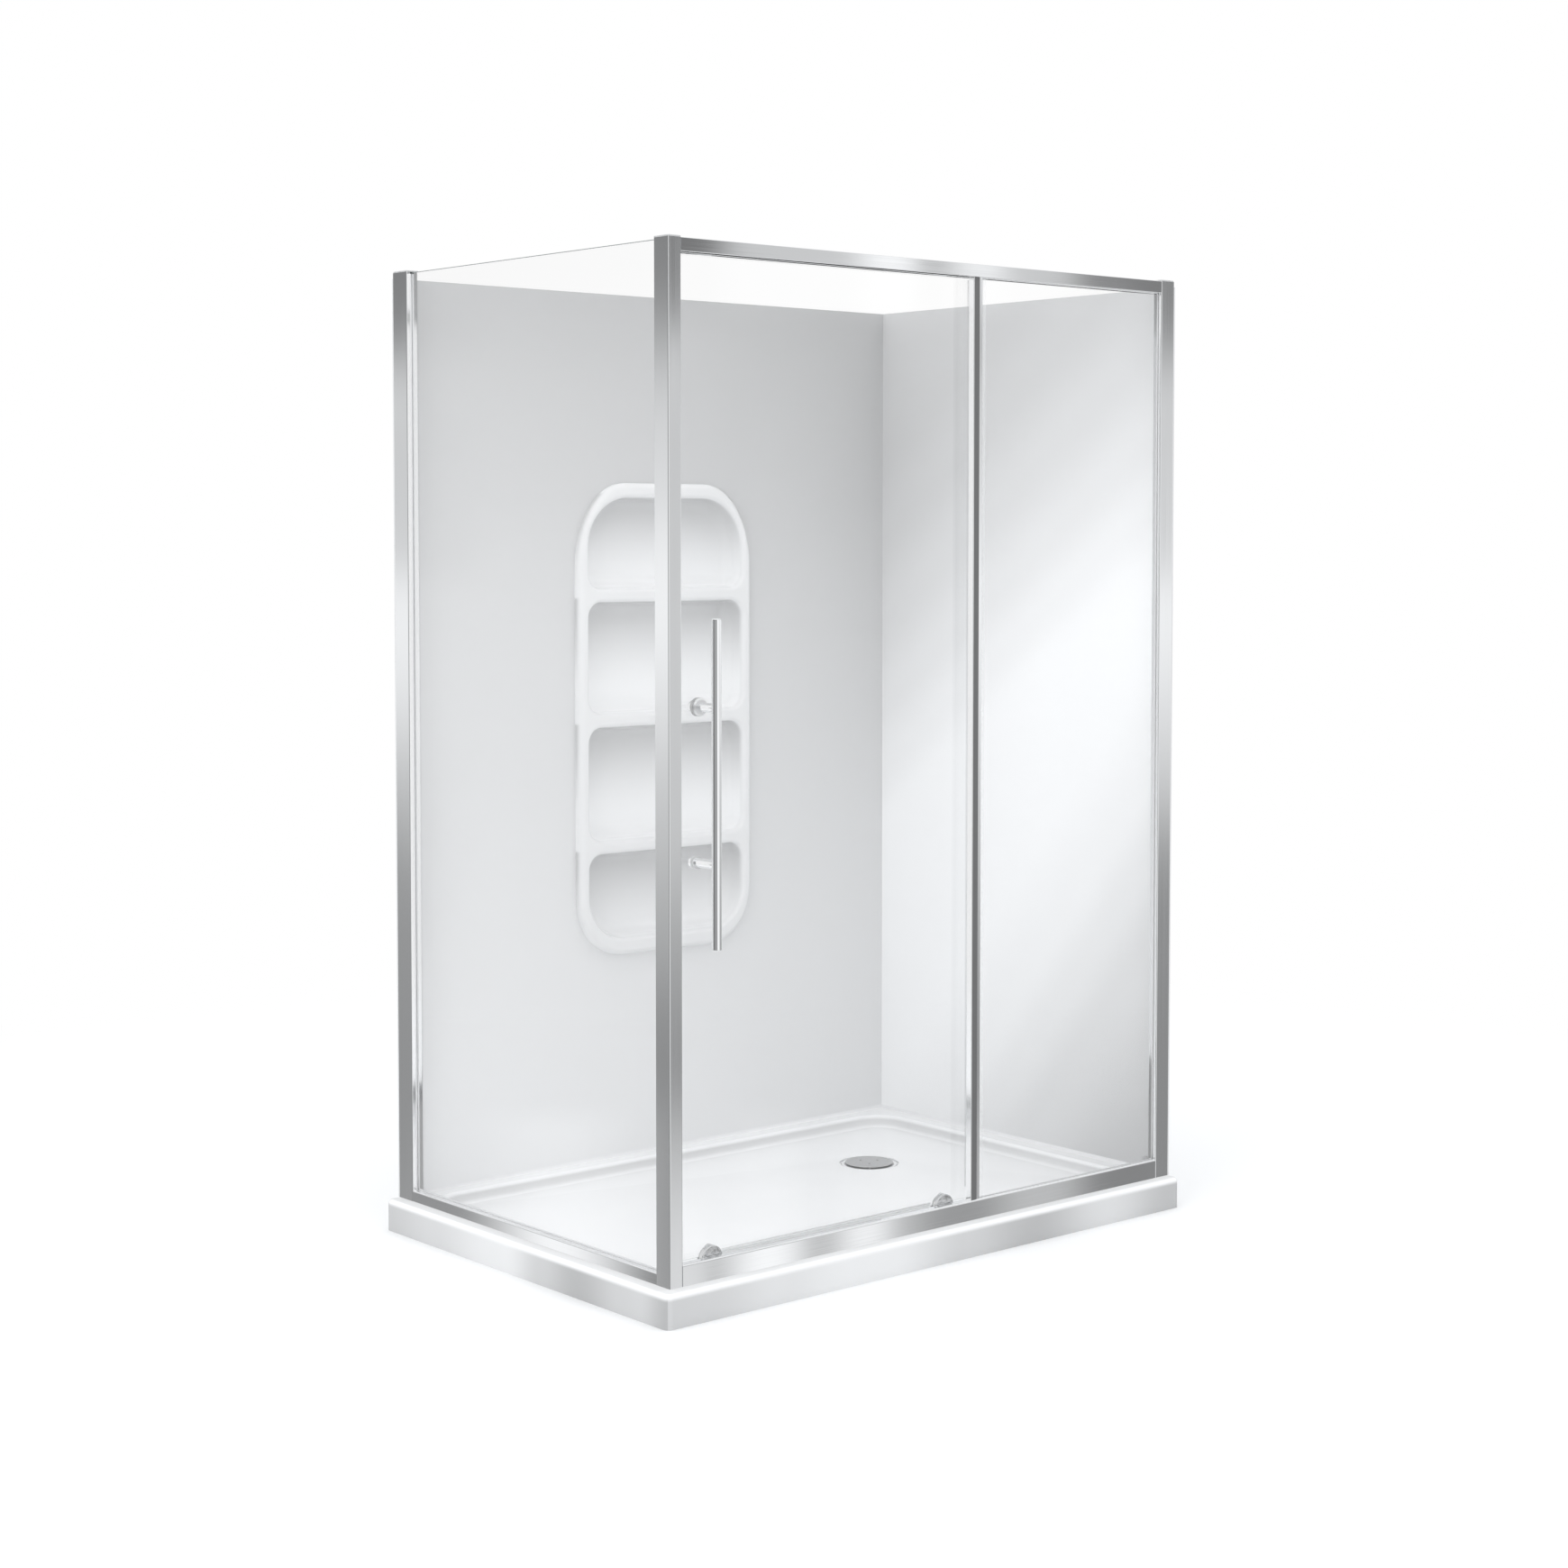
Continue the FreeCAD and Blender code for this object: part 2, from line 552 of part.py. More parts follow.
def header_rail():
    body = bar(along_x, 0, POST_Y, HEADER_Z0, BAR_TOP, POST_X, RIGHT_X0, (1, 1.5, 1.5, 1))
    ends = (POST_X - 1, RIGHT_X0 + 1)
    glazing = bar(along_x, *FIXED_SLOT, HEADER_Z0 - 1, HEADER_Z0 + 14, *ends)
    guide = bar(along_x, *GUIDE_SLOT, HEADER_Z0 - 1, GUIDE_TOP, *ends)
    core = bar(along_x, 17.2, 25.8, HEADER_Z0 + 1.6, BAR_TOP - 1.8, *ends)
    roof = bar(along_x, 1.8, 15.6, HEADER_Z0 + 15.6, BAR_TOP - 1.8, *ends)
    rear = bar(along_x, 27.4, POST_Y - 1.8, GUIDE_TOP + 1.6, BAR_TOP - 1.8, *ends)
    return cut(body, glazing, guide, core, roof, rear)


def sill_track():
    ends = (POST_X - 1, RIGHT_X0 + 1)
    body = bar(along_x, 0, SILL_WALL_Y, 0, SILL_H, POST_X, RIGHT_X0, (0, 0, 1, 3.5))
    base = bar(along_x, 0, POST_Y, 0, 2, POST_X, RIGHT_X0)
    lip = bar(along_x, POST_Y - 2, POST_Y, 0, 24, POST_X, RIGHT_X0, (0, 0, 0.9, 0.9))
    rib = bar(along_x, RAIL_Y - 1.15, RAIL_Y + 1.15, 1, RAIL_TOP, POST_X, RIGHT_X0, (0, 0, 1.1, 1.1))
    rail = fuse(body, base, lip, rib)
    glazing = bar(along_x, *FIXED_SLOT, SLOT_FLOOR, SILL_H + 1, *ends)
    chamber = bar(along_x, WALL, 16.2, WALL, SLOT_FLOOR - WALL, *ends)
    drains = [box(x, x + 40, POST_Y - 3, POST_Y + 1, 2, 5.5) for x in range(150, 1300, 220)]
    return cut(rail, glazing, chamber, *drains)


def sill_infill():
    """Snap-in strip that closes the glazing slot across the doorway."""
    y0, y1 = FIXED_SLOT
    strip = bar(along_x, y0, y1, SILL_H - 12, SILL_H, POST_X, STILE_X + 13, (0, 0, 1, 1))
    return cut(strip, bar(along_x, y0 + 1.5, y1 - 1.5, SILL_H - 13, SILL_H - 1.8, 0, W))


def side_sill():
    x0, x1 = 1.0, 27.0
    y0, y1 = POST_Y, LEFT_Y0
    slot_x = (RETURN_X + GLASS_T / 2 - SLOT_HALF, RETURN_X + GLASS_T / 2 + SLOT_HALF)
    body = bar(along_y, x0, x1, 0, SIDE_SILL_H, y0, y1, (0, 0, 2.5, 2.5))
    slot = bar(along_y, *slot_x, 6, SIDE_SILL_H + 1, y0 - 1, y1 + 1)
    voids = [bar(along_y, x0 + WALL, slot_x[0] - 1.6, 4, 17, y0 - 1, y1 + 1),
             bar(along_y, slot_x[1] + 1.4, x1 - WALL, 4, 17, y0 - 1, y1 + 1)]
    return cut(body, slot, *voids)


def connector_blocks():
    """Cast blocks inside the rails' ends; a screw from inside the upright holds each."""
    length, hole = 30.0, SCREW_R
    header = [(POST_X, POST_X + length), (RIGHT_X0 - length, RIGHT_X0)]
    blocks = []
    for x0, x1 in header:
        block = box(x0, x1, 17.4, 25.6, HEADER_Z0 + 1.8, BAR_TOP - 2)
        blocks.append(cut(block, cyl_x(hole, CONNECT_Y, CONNECT_Z, x0, x1)))
    block = box(POST_X, POST_X + length, 2, 16, 2, SLOT_FLOOR - 2)
    blocks.append(cut(block, cyl_x(hole, SILL_CONNECT_Y, SILL_CONNECT_Z, POST_X, POST_X + length)))
    save("connector_blocks", *blocks)


def frame_screws():
    left = Vector(POST_X - WALL, 0, 0)
    spots = [(CONNECT_Y, CONNECT_Z), (SILL_CONNECT_Y, SILL_CONNECT_Z)]
    screws = []
    for y, z in spots:
        head = left + Vector(0, y, z)
        screws.append(pan_head_screw(head + X_AXIS * 22, head, -X_AXIS, 22, 3.2))
    head = Vector(RIGHT_X0 + 2, CONNECT_Y, CONNECT_Z)
    screws.append(pan_head_screw(head - X_AXIS * 22, head, X_AXIS, 22, 2.6))
    save("frame_screws", *screws)


def track_end_caps():
    """Caps that carry the rails' rear halves past the slim right jamb to the liner."""
    y0 = JAMB_R_DEPTH + 0.1
    low = bar(along_x, y0, POST_Y, 0, SILL_H, RIGHT_X0, W, (0, 0, 2, 0))
    tongue = box(RIGHT_X0 - 12, RIGHT_X0, SILL_WALL_Y + 0.5, 30.5, 2, 9)
    link = box(RIGHT_X0 - 1, RIGHT_X0 + 1, y0, 30.5, 2, 9)
    high = bar(along_x, y0, POST_Y, HEADER_Z0, BAR_TOP, RIGHT_X0, W, (0, 1.5, 1.5, 0))
    save("track_end_caps", fuse(low, tongue, link), high)


def track_stops():
    """Blocks clipped in the track that stop the carriers at each end of the travel."""
    y0, y1 = SILL_WALL_Y + 0.3, RAIL_Y - 2.2
    stops = []
    for x0 in (CARRIER_X[0] - CARRIER_R - 21, CARRIER_X[1] + CARRIER_R + TRAVEL + 1):
        stops.append(bar(plan, x0, x0 + 20, y0, y1, 2, 30, 2))
    save("track_stops", *stops)


# ---------------------------------------------------------------- fixed panels
FIXED_X0, FIXED_X1 = STILE_X + 15, RIGHT_X0 + 11
FIXED_Z0, FIXED_Z1 = SLOT_FLOOR + 3, HEADER_Z0 + 11
RETURN_Y0, RETURN_Y1 = 33.0, LEFT_Y0 + 10
RETURN_Z0, RETURN_Z1 = 9.0, FRAME_H - 4


def fixed_glass():
    return box(FIXED_X0, FIXED_X1, FIXED_Y, FIXED_Y + GLASS_T, FIXED_Z0, FIXED_Z1)


def return_glass():
    return box(RETURN_X, RETURN_X + GLASS_T, RETURN_Y0, RETURN_Y1, RETURN_Z0, RETURN_Z1)


def glazing_gaskets():
    """U-shaped gaskets that hold the two fixed panels in their slots."""
    pane = return_glass()
    x0 = RETURN_X + GLASS_T / 2 - SLOT_HALF
    x1 = x0 + 2 * SLOT_HALF
    at_post = box(x0, x1, RETURN_Y0 - 2, POST_Y, SIDE_SILL_H, RETURN_Z1 - 3)
    at_jamb = box(x0, x1, LEFT_Y0, RETURN_Y1 + 2, SIDE_SILL_H, RETURN_Z1 - 3)
    at_sill = box(x0, x1, POST_Y, LEFT_Y0, RETURN_Z0 - 2, SIDE_SILL_H)
    save("return_gaskets", *[cut(g, pane) for g in (at_post, at_jamb, at_sill)])
    pane = fixed_glass()
    y0, y1 = FIXED_SLOT
    at_sill = box(STILE_X + 13, RIGHT_X0, y0, y1, FIXED_Z0 - 2, SILL_H)
    at_header = box(STILE_X + 13, RIGHT_X0, y0, y1, HEADER_Z0, FIXED_Z1 + 2)
    at_jamb = box(RIGHT_X0, FIXED_X1 + 2, y0, y1, SILL_H, HEADER_Z0)
    save("fixed_gaskets", *[cut(g, pane) for g in (at_sill, at_header, at_jamb)])


def stile():
    x0, x1 = STILE_X, STILE_X + STILE_W
    y0, y1 = STILE_Y0, STILE_Y1
    z0, z1 = SILL_H, HEADER_Z0
    slot = (5.2, 14.8)
    body = bar(plan, x0, x1, y0, y1, z0, z1, 1)
    groove = box(x0 + 1.5, x0 + 16, y0 - 1, y0 + 1.5, z0 - 1, z1 + 1)
    glazing = box(x0 + 13, x1 + 1, *slot, z0 - 1, z1 + 1)
    room = box(x0 + WALL, x0 + 11.4, y0 + 3.3, y1 - 4, z0 - 1, z1 + 1)
    brush = box(x0 + 4.4, x0 + 8.6, y1 - 2.2, y1 + 1, z0 - 1, z1 + 1)
    save("fixed_stile", cut(body, groove, glazing, room, brush))
    save("stile_insert", box(x0 + 1.5, x0 + 16, y0, y0 + 1.5, z0, z1))
    gasket = box(x0 + 13, x1, *slot, z0, z1)
    flap = box(x1, x1 + 12, FIXED_Y - 0.8, FIXED_Y, z0, z1)
    save("stile_gasket", cut(fuse(gasket, flap), fixed_glass()))
    base = box(x0 + 4.4, x0 + 8.6, y1 - 2.2, y1, 62, z1 - 2)
    fin = box(x0 + 5.9, x0 + 7.1, y1, DOOR_Y - 0.4, 62, z1 - 2)
    save("stile_brush_seal", fuse(base, fin))


# ---------------------------------------------------------------- sliding door
CARRIER_Y0, CARRIER_Y1 = 19.5, 28.7
CLAMP_Y0, CLAMP_Y1 = 36.3, 39.3
GRIP_Z = 48.0                     # height of the carriers' clamp screws
GRIP_HOLE_R = 7.0
HANDLE_HOLE_R = 6.0


def door_glass():
    pane = box(DOOR_X0, DOOR_X1, DOOR_Y, DOOR_Y + GLASS_T, DOOR_Z0, DOOR_Z1)
    holes = [cyl_y(HANDLE_HOLE_R, HANDLE_X, z, DOOR_Y - 1, DOOR_Y + GLASS_T + 1) for z in STEM_Z]
    holes += [cyl_y(GRIP_HOLE_R, x, GRIP_Z, DOOR_Y - 1, DOOR_Y + GLASS_T + 1) for x in CARRIER_X]
    return cut(pane, *holes)


def door_seals():
    pane = box(DOOR_X0, DOOR_X1, DOOR_Y, DOOR_Y + GLASS_T, DOOR_Z0, DOOR_Z1)
    y0, y1 = DOOR_Y - 1.2, DOOR_Y + GLASS_T + 1.2
    z0, z1 = 44.0, HEADER_Z0 - 2
    clip = bar(plan, DOOR_X0 - 2.5, DOOR_X0 + 8, y0, y1, z0, z1, 0.8)
    nose = cyl(2.4, Vector(DOOR_X0 - 2.6, RAIL_Y, z0), Z_AXIS, z1 - z0)
    save("door_lead_seal", cut(fuse(clip, nose), pane))
    clip = bar(plan, DOOR_X1 - 8, DOOR_X1 + 2.5, y0, y1, z0, z1, 0.8)
    nose = cyl(3.0, Vector(DOOR_X1 + 3.0, RAIL_Y, z0), Z_AXIS, z1 - z0)
    save("door_trail_seal", cut(fuse(clip, nose), pane))
    x0, x1 = CARRIER_X[0] + CARRIER_R + 5, CARRIER_X[1] - CARRIER_R - 5
    clip = bar(along_x, y0, y1, DOOR_Z0 - 2, DOOR_Z0 + 7, x0, x1, 0.8)
    fin = bar(along_x, y1 - 2.2, y1 - 1.0, 26, DOOR_Z0 - 1, x0, x1, 0.4)
    save("door_bottom_seal", cut(fuse(clip, fin), pane))
    strike = box(24, 26.5, 28, 37, z0, z1)
    save("post_strike_strip", strike)


def handle():
    tube = cyl(HANDLE_R, Vector(HANDLE_X, HANDLE_Y, HANDLE_Z0), Z_AXIS, HANDLE_Z1 - HANDLE_Z0)
    save("handle_bar", tube.makeFillet(1.6, edges_where(
        tube, lambda b: at_level(b, HANDLE_Z0) or at_level(b, HANDLE_Z1))))
    seat = DOOR_Y - 1.0
    upper_z, lower_z = STEM_Z
    stems, nuts, washers = [], [], []
    for z in STEM_Z:
        rod = fuse(cyl_y(8.5, HANDLE_X, z, HANDLE_Y, seat), cyl_y(4, HANDLE_X, z, seat, DOOR_Y + GLASS_T + 8))
        if z == lower_z:
            rod = fuse(rod, cyl_y(11.5, HANDLE_X, z, seat - 2.5, seat))
        stems.append(cut(rod, tube))
        out = Vector(HANDLE_X, DOOR_Y + GLASS_T + 1, z)
        nut = turned([(4, 0), (12, 0), (12, 5), (8.5, 9.4, 11, 8.2), (0, 10), (0, 7), (4, 7)], out, Y_AXIS)
        nuts.append(nut)
        for y in (seat, DOOR_Y + GLASS_T):
            ring = turned([(4, 0), (12.5, 0), (12.5, 1), (4, 1)], Vector(HANDLE_X, y, z), Y_AXIS)
            washers.append(ring)
    save("handle_stems", *stems)
    save("handle_inner_nuts", *nuts)
    save("handle_washers", *washers)
    base = Vector(HANDLE_X, seat, upper_z)
    bell = turned([(8.5, 0), (16.6, 0), (17.6, 1.2, 17.3, 0.4), (17.6, 5.5), (14.4, 12, 17, 9.3),
                   (13.4, 12.6, 14, 12.4), (8.5, 12.6)], base, -Y_AXIS)
    save("handle_rosette", bell)


def flat_bottomed_disc(x, r, y0, y1, floor):
    disc = cyl_y(r, x, CARRIER_Z, y0, y1)
    return cut(disc, box(x - r - 1, x + r + 1, y0 - 1, y1 + 1, 0, floor))


def carriers():
    """Round-topped carriers: a housing outside the glass, a clamp plate inside, the axle
    between them under the edge of the glass, and a bushed screw through the glass."""
    plates, bushes, screws, axles = [], [], [], []
    for side, x in zip(("left", "right"), CARRIER_X):
        housing = flat_bottomed_disc(x, CARRIER_R, CARRIER_Y0, CARRIER_Y1, 14)
        front = edges_where(housing, lambda b: at_level(b, CARRIER_Y0, "Y") and b.ZMax > 20)
        housing = housing.makeFillet(2.2, front)
        axle = cyl_y(AXLE_R, x, AXLE_Z, CARRIER_Y1 - 4, CLAMP_Y1)
        shank = cyl_y(3, x, GRIP_Z, CARRIER_Y1 - 5, CLAMP_Y1)
        save("carrier_housing_" + side, cut(housing, axle, shank))
        plate = flat_bottomed_disc(x, 21, CLAMP_Y0, CLAMP_Y1, 14)
        plates.append(cut(plate, axle, shank))
        hub = cut(fuse(cyl_y(11, x, GRIP_Z, CARRIER_Y1, DOOR_Y),
                       cyl_y(GRIP_HOLE_R, x, GRIP_Z, DOOR_Y, DOOR_Y + GLASS_T)), shank)
        pad = cut(cyl_y(11, x, GRIP_Z, DOOR_Y + GLASS_T, CLAMP_Y0), shank)
        trim = box(x - 20, x + 20, DOOR_Y - 5, CLAMP_Y0 + 1, 0, DOOR_Z0)
        bushes += [cut(hub, trim), cut(pad, trim)]
        head = turned([(0, 0), (5, 0), (5, 1.4), (4.2, 2.2, 4.8, 2.0), (0, 2.2)],
                      Vector(x, CLAMP_Y1, GRIP_Z), Y_AXIS)
        socket = cyl_y(2, x, GRIP_Z, CLAMP_Y1 + 0.8, CLAMP_Y1 + 4)
        screws.append(cut(fuse(shank, head), socket))
        axles.append(axle)
    save("carrier_clamp_plates", *plates)
    save("carrier_bushes", *bushes)
    save("carrier_screws", *screws)
    save("wheel_axles", *axles)


def top_guide_shoes():
    shoes = []
    pane = box(DOOR_X0, DOOR_X1, DOOR_Y, DOOR_Y + GLASS_T, DOOR_Z0, DOOR_Z1)
    for x in CARRIER_X:
        y0, y1 = GUIDE_SLOT[0] + 0.5, GUIDE_SLOT[1] - 0.5
        shoe = bar(plan, x - 18, x + 18, y0, y1, HEADER_Z0 + 1, DOOR_Z1 + 5, 1.2)
        shoes.append(cut(shoe, pane))
    save("top_guide_shoes", *shoes)


def wheels():
    """Grooved nylon wheels on plain bearing sleeves; they run on the rail's rounded rib."""
    half = 2.5
    for side, x in zip(("left", "right"), CARRIER_X):
        base = Vector(x, RAIL_Y, AXLE_Z)
        tyre = turned([(7, -half), (WHEEL_R - 0.6, -half), (WHEEL_R, -half + 0.5), (WHEEL_R, -1.9),
                       (GROOVE_R, -1.5), (GROOVE_R, 1.5), (WHEEL_R, 1.9), (WHEEL_R, half - 0.5),
                       (WHEEL_R - 0.6, half), (7, half)], base, Y_AXIS)
        save("roller_wheel_" + side, tyre)
        sleeve = turned([(AXLE_R + 0.05, -half - 0.3), (7, -half - 0.3), (7, half + 0.3),
                         (AXLE_R + 0.05, half + 0.3)], base, Y_AXIS)
        save("wheel_bearing_" + side, sleeve)


# ---------------------------------------------------------------- build
def main():
    os.makedirs("parts", exist_ok=True)
    tray_base()
    save("shower_tray", shower_tray())
    waste()
    drain_cover()
    wall_liners()
    save("moulded_shelf", moulded_shelf())
    save("sealant_bead", sealant_bead())
    save("corner_post", corner_post())
    save("jamb_left", jamb_left())
    save("jamb_right", jamb_right())
    save("wall_channel_left", wall_channel_left())
    save("wall_channel_right", wall_channel_right())
    save("corner_post_cap", cap(0, POST_X, 0, POST_Y, (WALL + 0.3, POST_X - WALL - 0.3, WALL + 0.3, 24.7)))
    save("jamb_caps", cap(0, POST_X, LEFT_Y0, D, (2.3, POST_X - 2.3, LEFT_Y0 + 20.3, LEFT_Y0 + 21.8)),
         cap(RIGHT_X0, W, 0, JAMB_R_DEPTH, (RIGHT_X0 + 2.3, RIGHT_X0 + 17.7, 17.7, JAMB_R_DEPTH - 2.3)))
    jamb_screws()
    save("header_rail", header_rail())
    save("sill_track", sill_track())
    save("sill_infill", sill_infill())
    save("side_sill", side_sill())
    connector_blocks()
    frame_screws()
    track_end_caps()
    track_stops()
    save("fixed_glass", fixed_glass())
    save("return_glass", return_glass())
    glazing_gaskets()
    stile()
    save("door_glass", door_glass())
    door_seals()
    handle()
    carriers()
    top_guide_shoes()
    wheels()


main()
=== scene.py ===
"""Shower enclosure with a sliding door: finishes, glass, brushes and screws round the fixed frame.

Laid out as an add-on.  Each piece or group of like pieces has an operator, and the sizes and
colours that a user would change are properties of the scene.  Metres, +Z up, door side at -Y.
"""

import json
import math

import bmesh
import bpy
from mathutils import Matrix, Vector


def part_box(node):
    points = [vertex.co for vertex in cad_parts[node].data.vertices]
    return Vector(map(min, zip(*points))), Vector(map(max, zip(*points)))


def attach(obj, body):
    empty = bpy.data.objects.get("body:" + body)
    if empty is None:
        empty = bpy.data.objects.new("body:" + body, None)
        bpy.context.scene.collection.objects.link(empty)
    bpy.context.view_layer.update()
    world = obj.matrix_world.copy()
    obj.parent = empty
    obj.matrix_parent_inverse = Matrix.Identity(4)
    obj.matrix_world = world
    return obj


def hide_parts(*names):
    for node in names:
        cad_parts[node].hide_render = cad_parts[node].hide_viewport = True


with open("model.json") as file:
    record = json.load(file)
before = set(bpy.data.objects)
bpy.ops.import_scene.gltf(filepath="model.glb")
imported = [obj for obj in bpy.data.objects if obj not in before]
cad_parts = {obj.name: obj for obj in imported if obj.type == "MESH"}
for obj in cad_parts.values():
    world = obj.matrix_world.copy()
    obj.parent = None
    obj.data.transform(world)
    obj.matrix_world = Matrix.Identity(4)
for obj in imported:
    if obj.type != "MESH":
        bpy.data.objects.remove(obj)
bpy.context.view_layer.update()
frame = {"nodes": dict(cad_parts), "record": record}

bl_info = {
    "name": "Shower Enclosure",
    "version": (1, 0, 0),
    "blender": (4, 5, 0),
    "location": "3D View > Sidebar > Shower",
    "description": "Finishes and fine pieces of a shower enclosure with a sliding door",
    "category": "Object",
}

MM = 0.001
NODES = frame["nodes"]
SLOT_OF = {part["node"]: part["material_slot"] for part in frame["record"]["subparts"]}
BODY_OF = {node: body for body, nodes in frame["record"]["behaviour"]["bodies"].items() for node in nodes}

# Upright profiles run along z, the front rails along x and the side sill along y.
FRONT_RAILS = ("header_rail", "sill_track", "sill_infill")
SIDE_RAILS = ("side_sill",)

# The profiles mirror the studio alone, without the tray and the board that carries it.
NOT_MIRRORED = ("shower_tray", "tray_underlay", "edge_battens")


# ---------------------------------------------------------------- node helpers
def put(tree, socket, value):
    """Links another node's output to a socket, or sets the socket's own value."""
    if isinstance(value, bpy.types.NodeSocket):
        tree.links.new(value, socket)
    else:
        socket.default_value = value


def add(tree, kind, inputs=None, **settings):
    node = tree.nodes.new(kind)
    for name, value in settings.items():
        setattr(node, name, value)
    for key, value in (inputs or {}).items():
        put(tree, node.inputs[key], value)
    return node


def calc(tree, operation, a, b=0.0, c=0.0):
    return add(tree, "ShaderNodeMath", {0: a, 1: b, 2: c}, operation=operation).outputs[0]


def vector_calc(tree, operation, a, b=(0.0, 0.0, 0.0)):
    """Outputs of a vector operation: "Vector", and "Value" where it gives a number."""
    return add(tree, "ShaderNodeVectorMath", {0: a, 1: b}, operation=operation).outputs


def ramp_linear(tree, value, low, high):
    """How far value is on its way from low to high."""
    inputs = {"Value": value, "From Min": low, "From Max": high}
    return add(tree, "ShaderNodeMapRange", inputs, interpolation_type="LINEAR").outputs[0]


def levels(tree, value, stops, interpolation="LINEAR"):
    """Runs value through greys, each given as the value where it lies and its level."""
    first, last = stops[0][0], stops[-1][0]
    node = add(tree, "ShaderNodeValToRGB", {0: ramp_linear(tree, value, first, last)})
    node.color_ramp.interpolation = interpolation
    elements = node.color_ramp.elements
    while len(elements) > 1:
        elements.remove(elements[-1])
    for k, (at, level) in enumerate(stops):
        place = (at - first) / (last - first)
        stop = elements[0] if k == 0 else elements.new(place)
        stop.position = place
        stop.color = grey(level)
    return node.outputs[0]


def ramp(tree, value, low, high, to_low=0.0, to_high=1.0):
    """Smooth step of value from to_low at low to to_high at high."""
    inputs = {"Value": value, "From Min": low, "From Max": high, "To Min": to_low, "To Max": to_high}
    return add(tree, "ShaderNodeMapRange", inputs, interpolation_type="SMOOTHSTEP").outputs[0]


def blend(tree, factor, a, b, way="MIX"):
    """Mixes two colours; 6 and 7 are the colour inputs of the node and 2 its colour output."""
    inputs = {0: factor, 6: a, 7: b}
    return add(tree, "ShaderNodeMix", inputs, data_type="RGBA", blend_type=way).outputs[2]


def along(tree, vector, direction):
    """How far a point lies along a direction."""
    return vector_calc(tree, "DOT_PRODUCT", vector, direction)["Value"]


def parts_of(tree, vector):
    return add(tree, "ShaderNodeSeparateXYZ", {0: vector}).outputs


def object_point(tree):
    return add(tree, "ShaderNodeTexCoord").outputs["Object"]


def surface_normal(tree):
    return add(tree, "ShaderNodeNewGeometry").outputs["Normal"]


def noise(tree, vector, scale, detail=1.0):
    """Height of a noise texture at a point."""
    return add(tree, "ShaderNodeTexNoise", {"Vector": vector, "Scale": scale, "Detail": detail}).outputs[0]


def grey(level):
    """A neutral colour with the faint cool cast of the studio, which is painted into the colour of each
    finish.
    """
    return (level * 0.985, level * 0.992, level, 1.0)


def new_group(name, inputs, outputs):
    """Node group with named sockets: {name: (kind, default)} and {name: kind}."""
    group = bpy.data.node_groups.new(name, "ShaderNodeTree")
    for socket, (kind, default) in inputs.items():
        item = group.interface.new_socket(socket, in_out="INPUT", socket_type="NodeSocket" + kind)
        if default is not None:
            item.default_value = default
    for socket, kind in outputs.items():
        group.interface.new_socket(socket, in_out="OUTPUT", socket_type="NodeSocket" + kind)
    return group, add(group, "NodeGroupInput").outputs, add(group, "NodeGroupOutput").inputs


def use(tree, group, inputs):
    return add(tree, "ShaderNodeGroup", inputs, node_tree=group)


# ---------------------------------------------------------------- shared effects
# Between these values lies nearly all of a noise texture.
NOISE_SPAN = (0.3, 0.7)


def soft_band_group():
    """Mask of one soft-edged band round Centre, for painted shade, the waste seat and the studio's boxes
    and flags.
    """
    group, at, out = new_group(
        "Soft Band",
        {"Position": ("Float", 0.0), "Centre": ("Float", 0.0), "Half Width": ("Float", 0.1),
         "Softness": ("Float", 0.1)},
        {"Mask": "Float"},
    )
    off = calc(group, "ABSOLUTE", calc(group, "SUBTRACT", at["Position"], at["Centre"]))
    edge = calc(group, "ADD", at["Half Width"], at["Softness"])
    put(group, out["Mask"], ramp(group, off, edge, at["Half Width"]))
    return group


def drawn_lines_group():
    """Die lines of an extrusion or the grain of a brushed face, stretched along one way."""
    group, at, out = new_group(
        "Drawn Lines",
        {"Vector": ("Vector", None), "Across": ("Vector", (900.0, 900.0, 1.5)), "Low": ("Float", 0.06),
         "High": ("Float", 0.12)},
        {"Roughness": "Float", "Height": "Float"},
    )
    stretched = vector_calc(group, "MULTIPLY", at["Vector"], at["Across"])["Vector"]
    line_share, cloud_share = 0.7, 0.3
    lines = noise(group, stretched, 1.0, 2.0)
    clouds = calc(group, "MULTIPLY", noise(group, at["Vector"], 3.0), cloud_share)
    total = calc(group, "MULTIPLY_ADD", lines, line_share, clouds)
    put(group, out["Roughness"], ramp(group, total, *NOISE_SPAN, at["Low"], at["High"]))
    put(group, out["Height"], lines)
    return group


def moulded_gloss_group():
    """Slow waves and fine pebble of vacuum-formed or moulded plastic."""
    group, at, out = new_group(
        "Moulded Gloss",
        {"Vector": ("Vector", None), "Wave Scale": ("Float", 9.0), "Pebble Scale": ("Float", 260.0),
         "Low": ("Float", 0.12), "High": ("Float", 0.2)},
        {"Roughness": "Float", "Height": "Float"},
    )
    pebble_share = 0.04
    waves = noise(group, at["Vector"], at["Wave Scale"])
    pebble = calc(group, "MULTIPLY", noise(group, at["Vector"], at["Pebble Scale"]), pebble_share)
    put(group, out["Roughness"], ramp(group, waves, *NOISE_SPAN, at["Low"], at["High"]))
    put(group, out["Height"], calc(group, "ADD", waves, pebble))
    return group


def effect(name):
    """The shared node group of that name, built on first use."""
    makers = {"Soft Band": soft_band_group, "Drawn Lines": drawn_lines_group,
              "Moulded Gloss": moulded_gloss_group}
    return bpy.data.node_groups.get(name) or makers[name]()


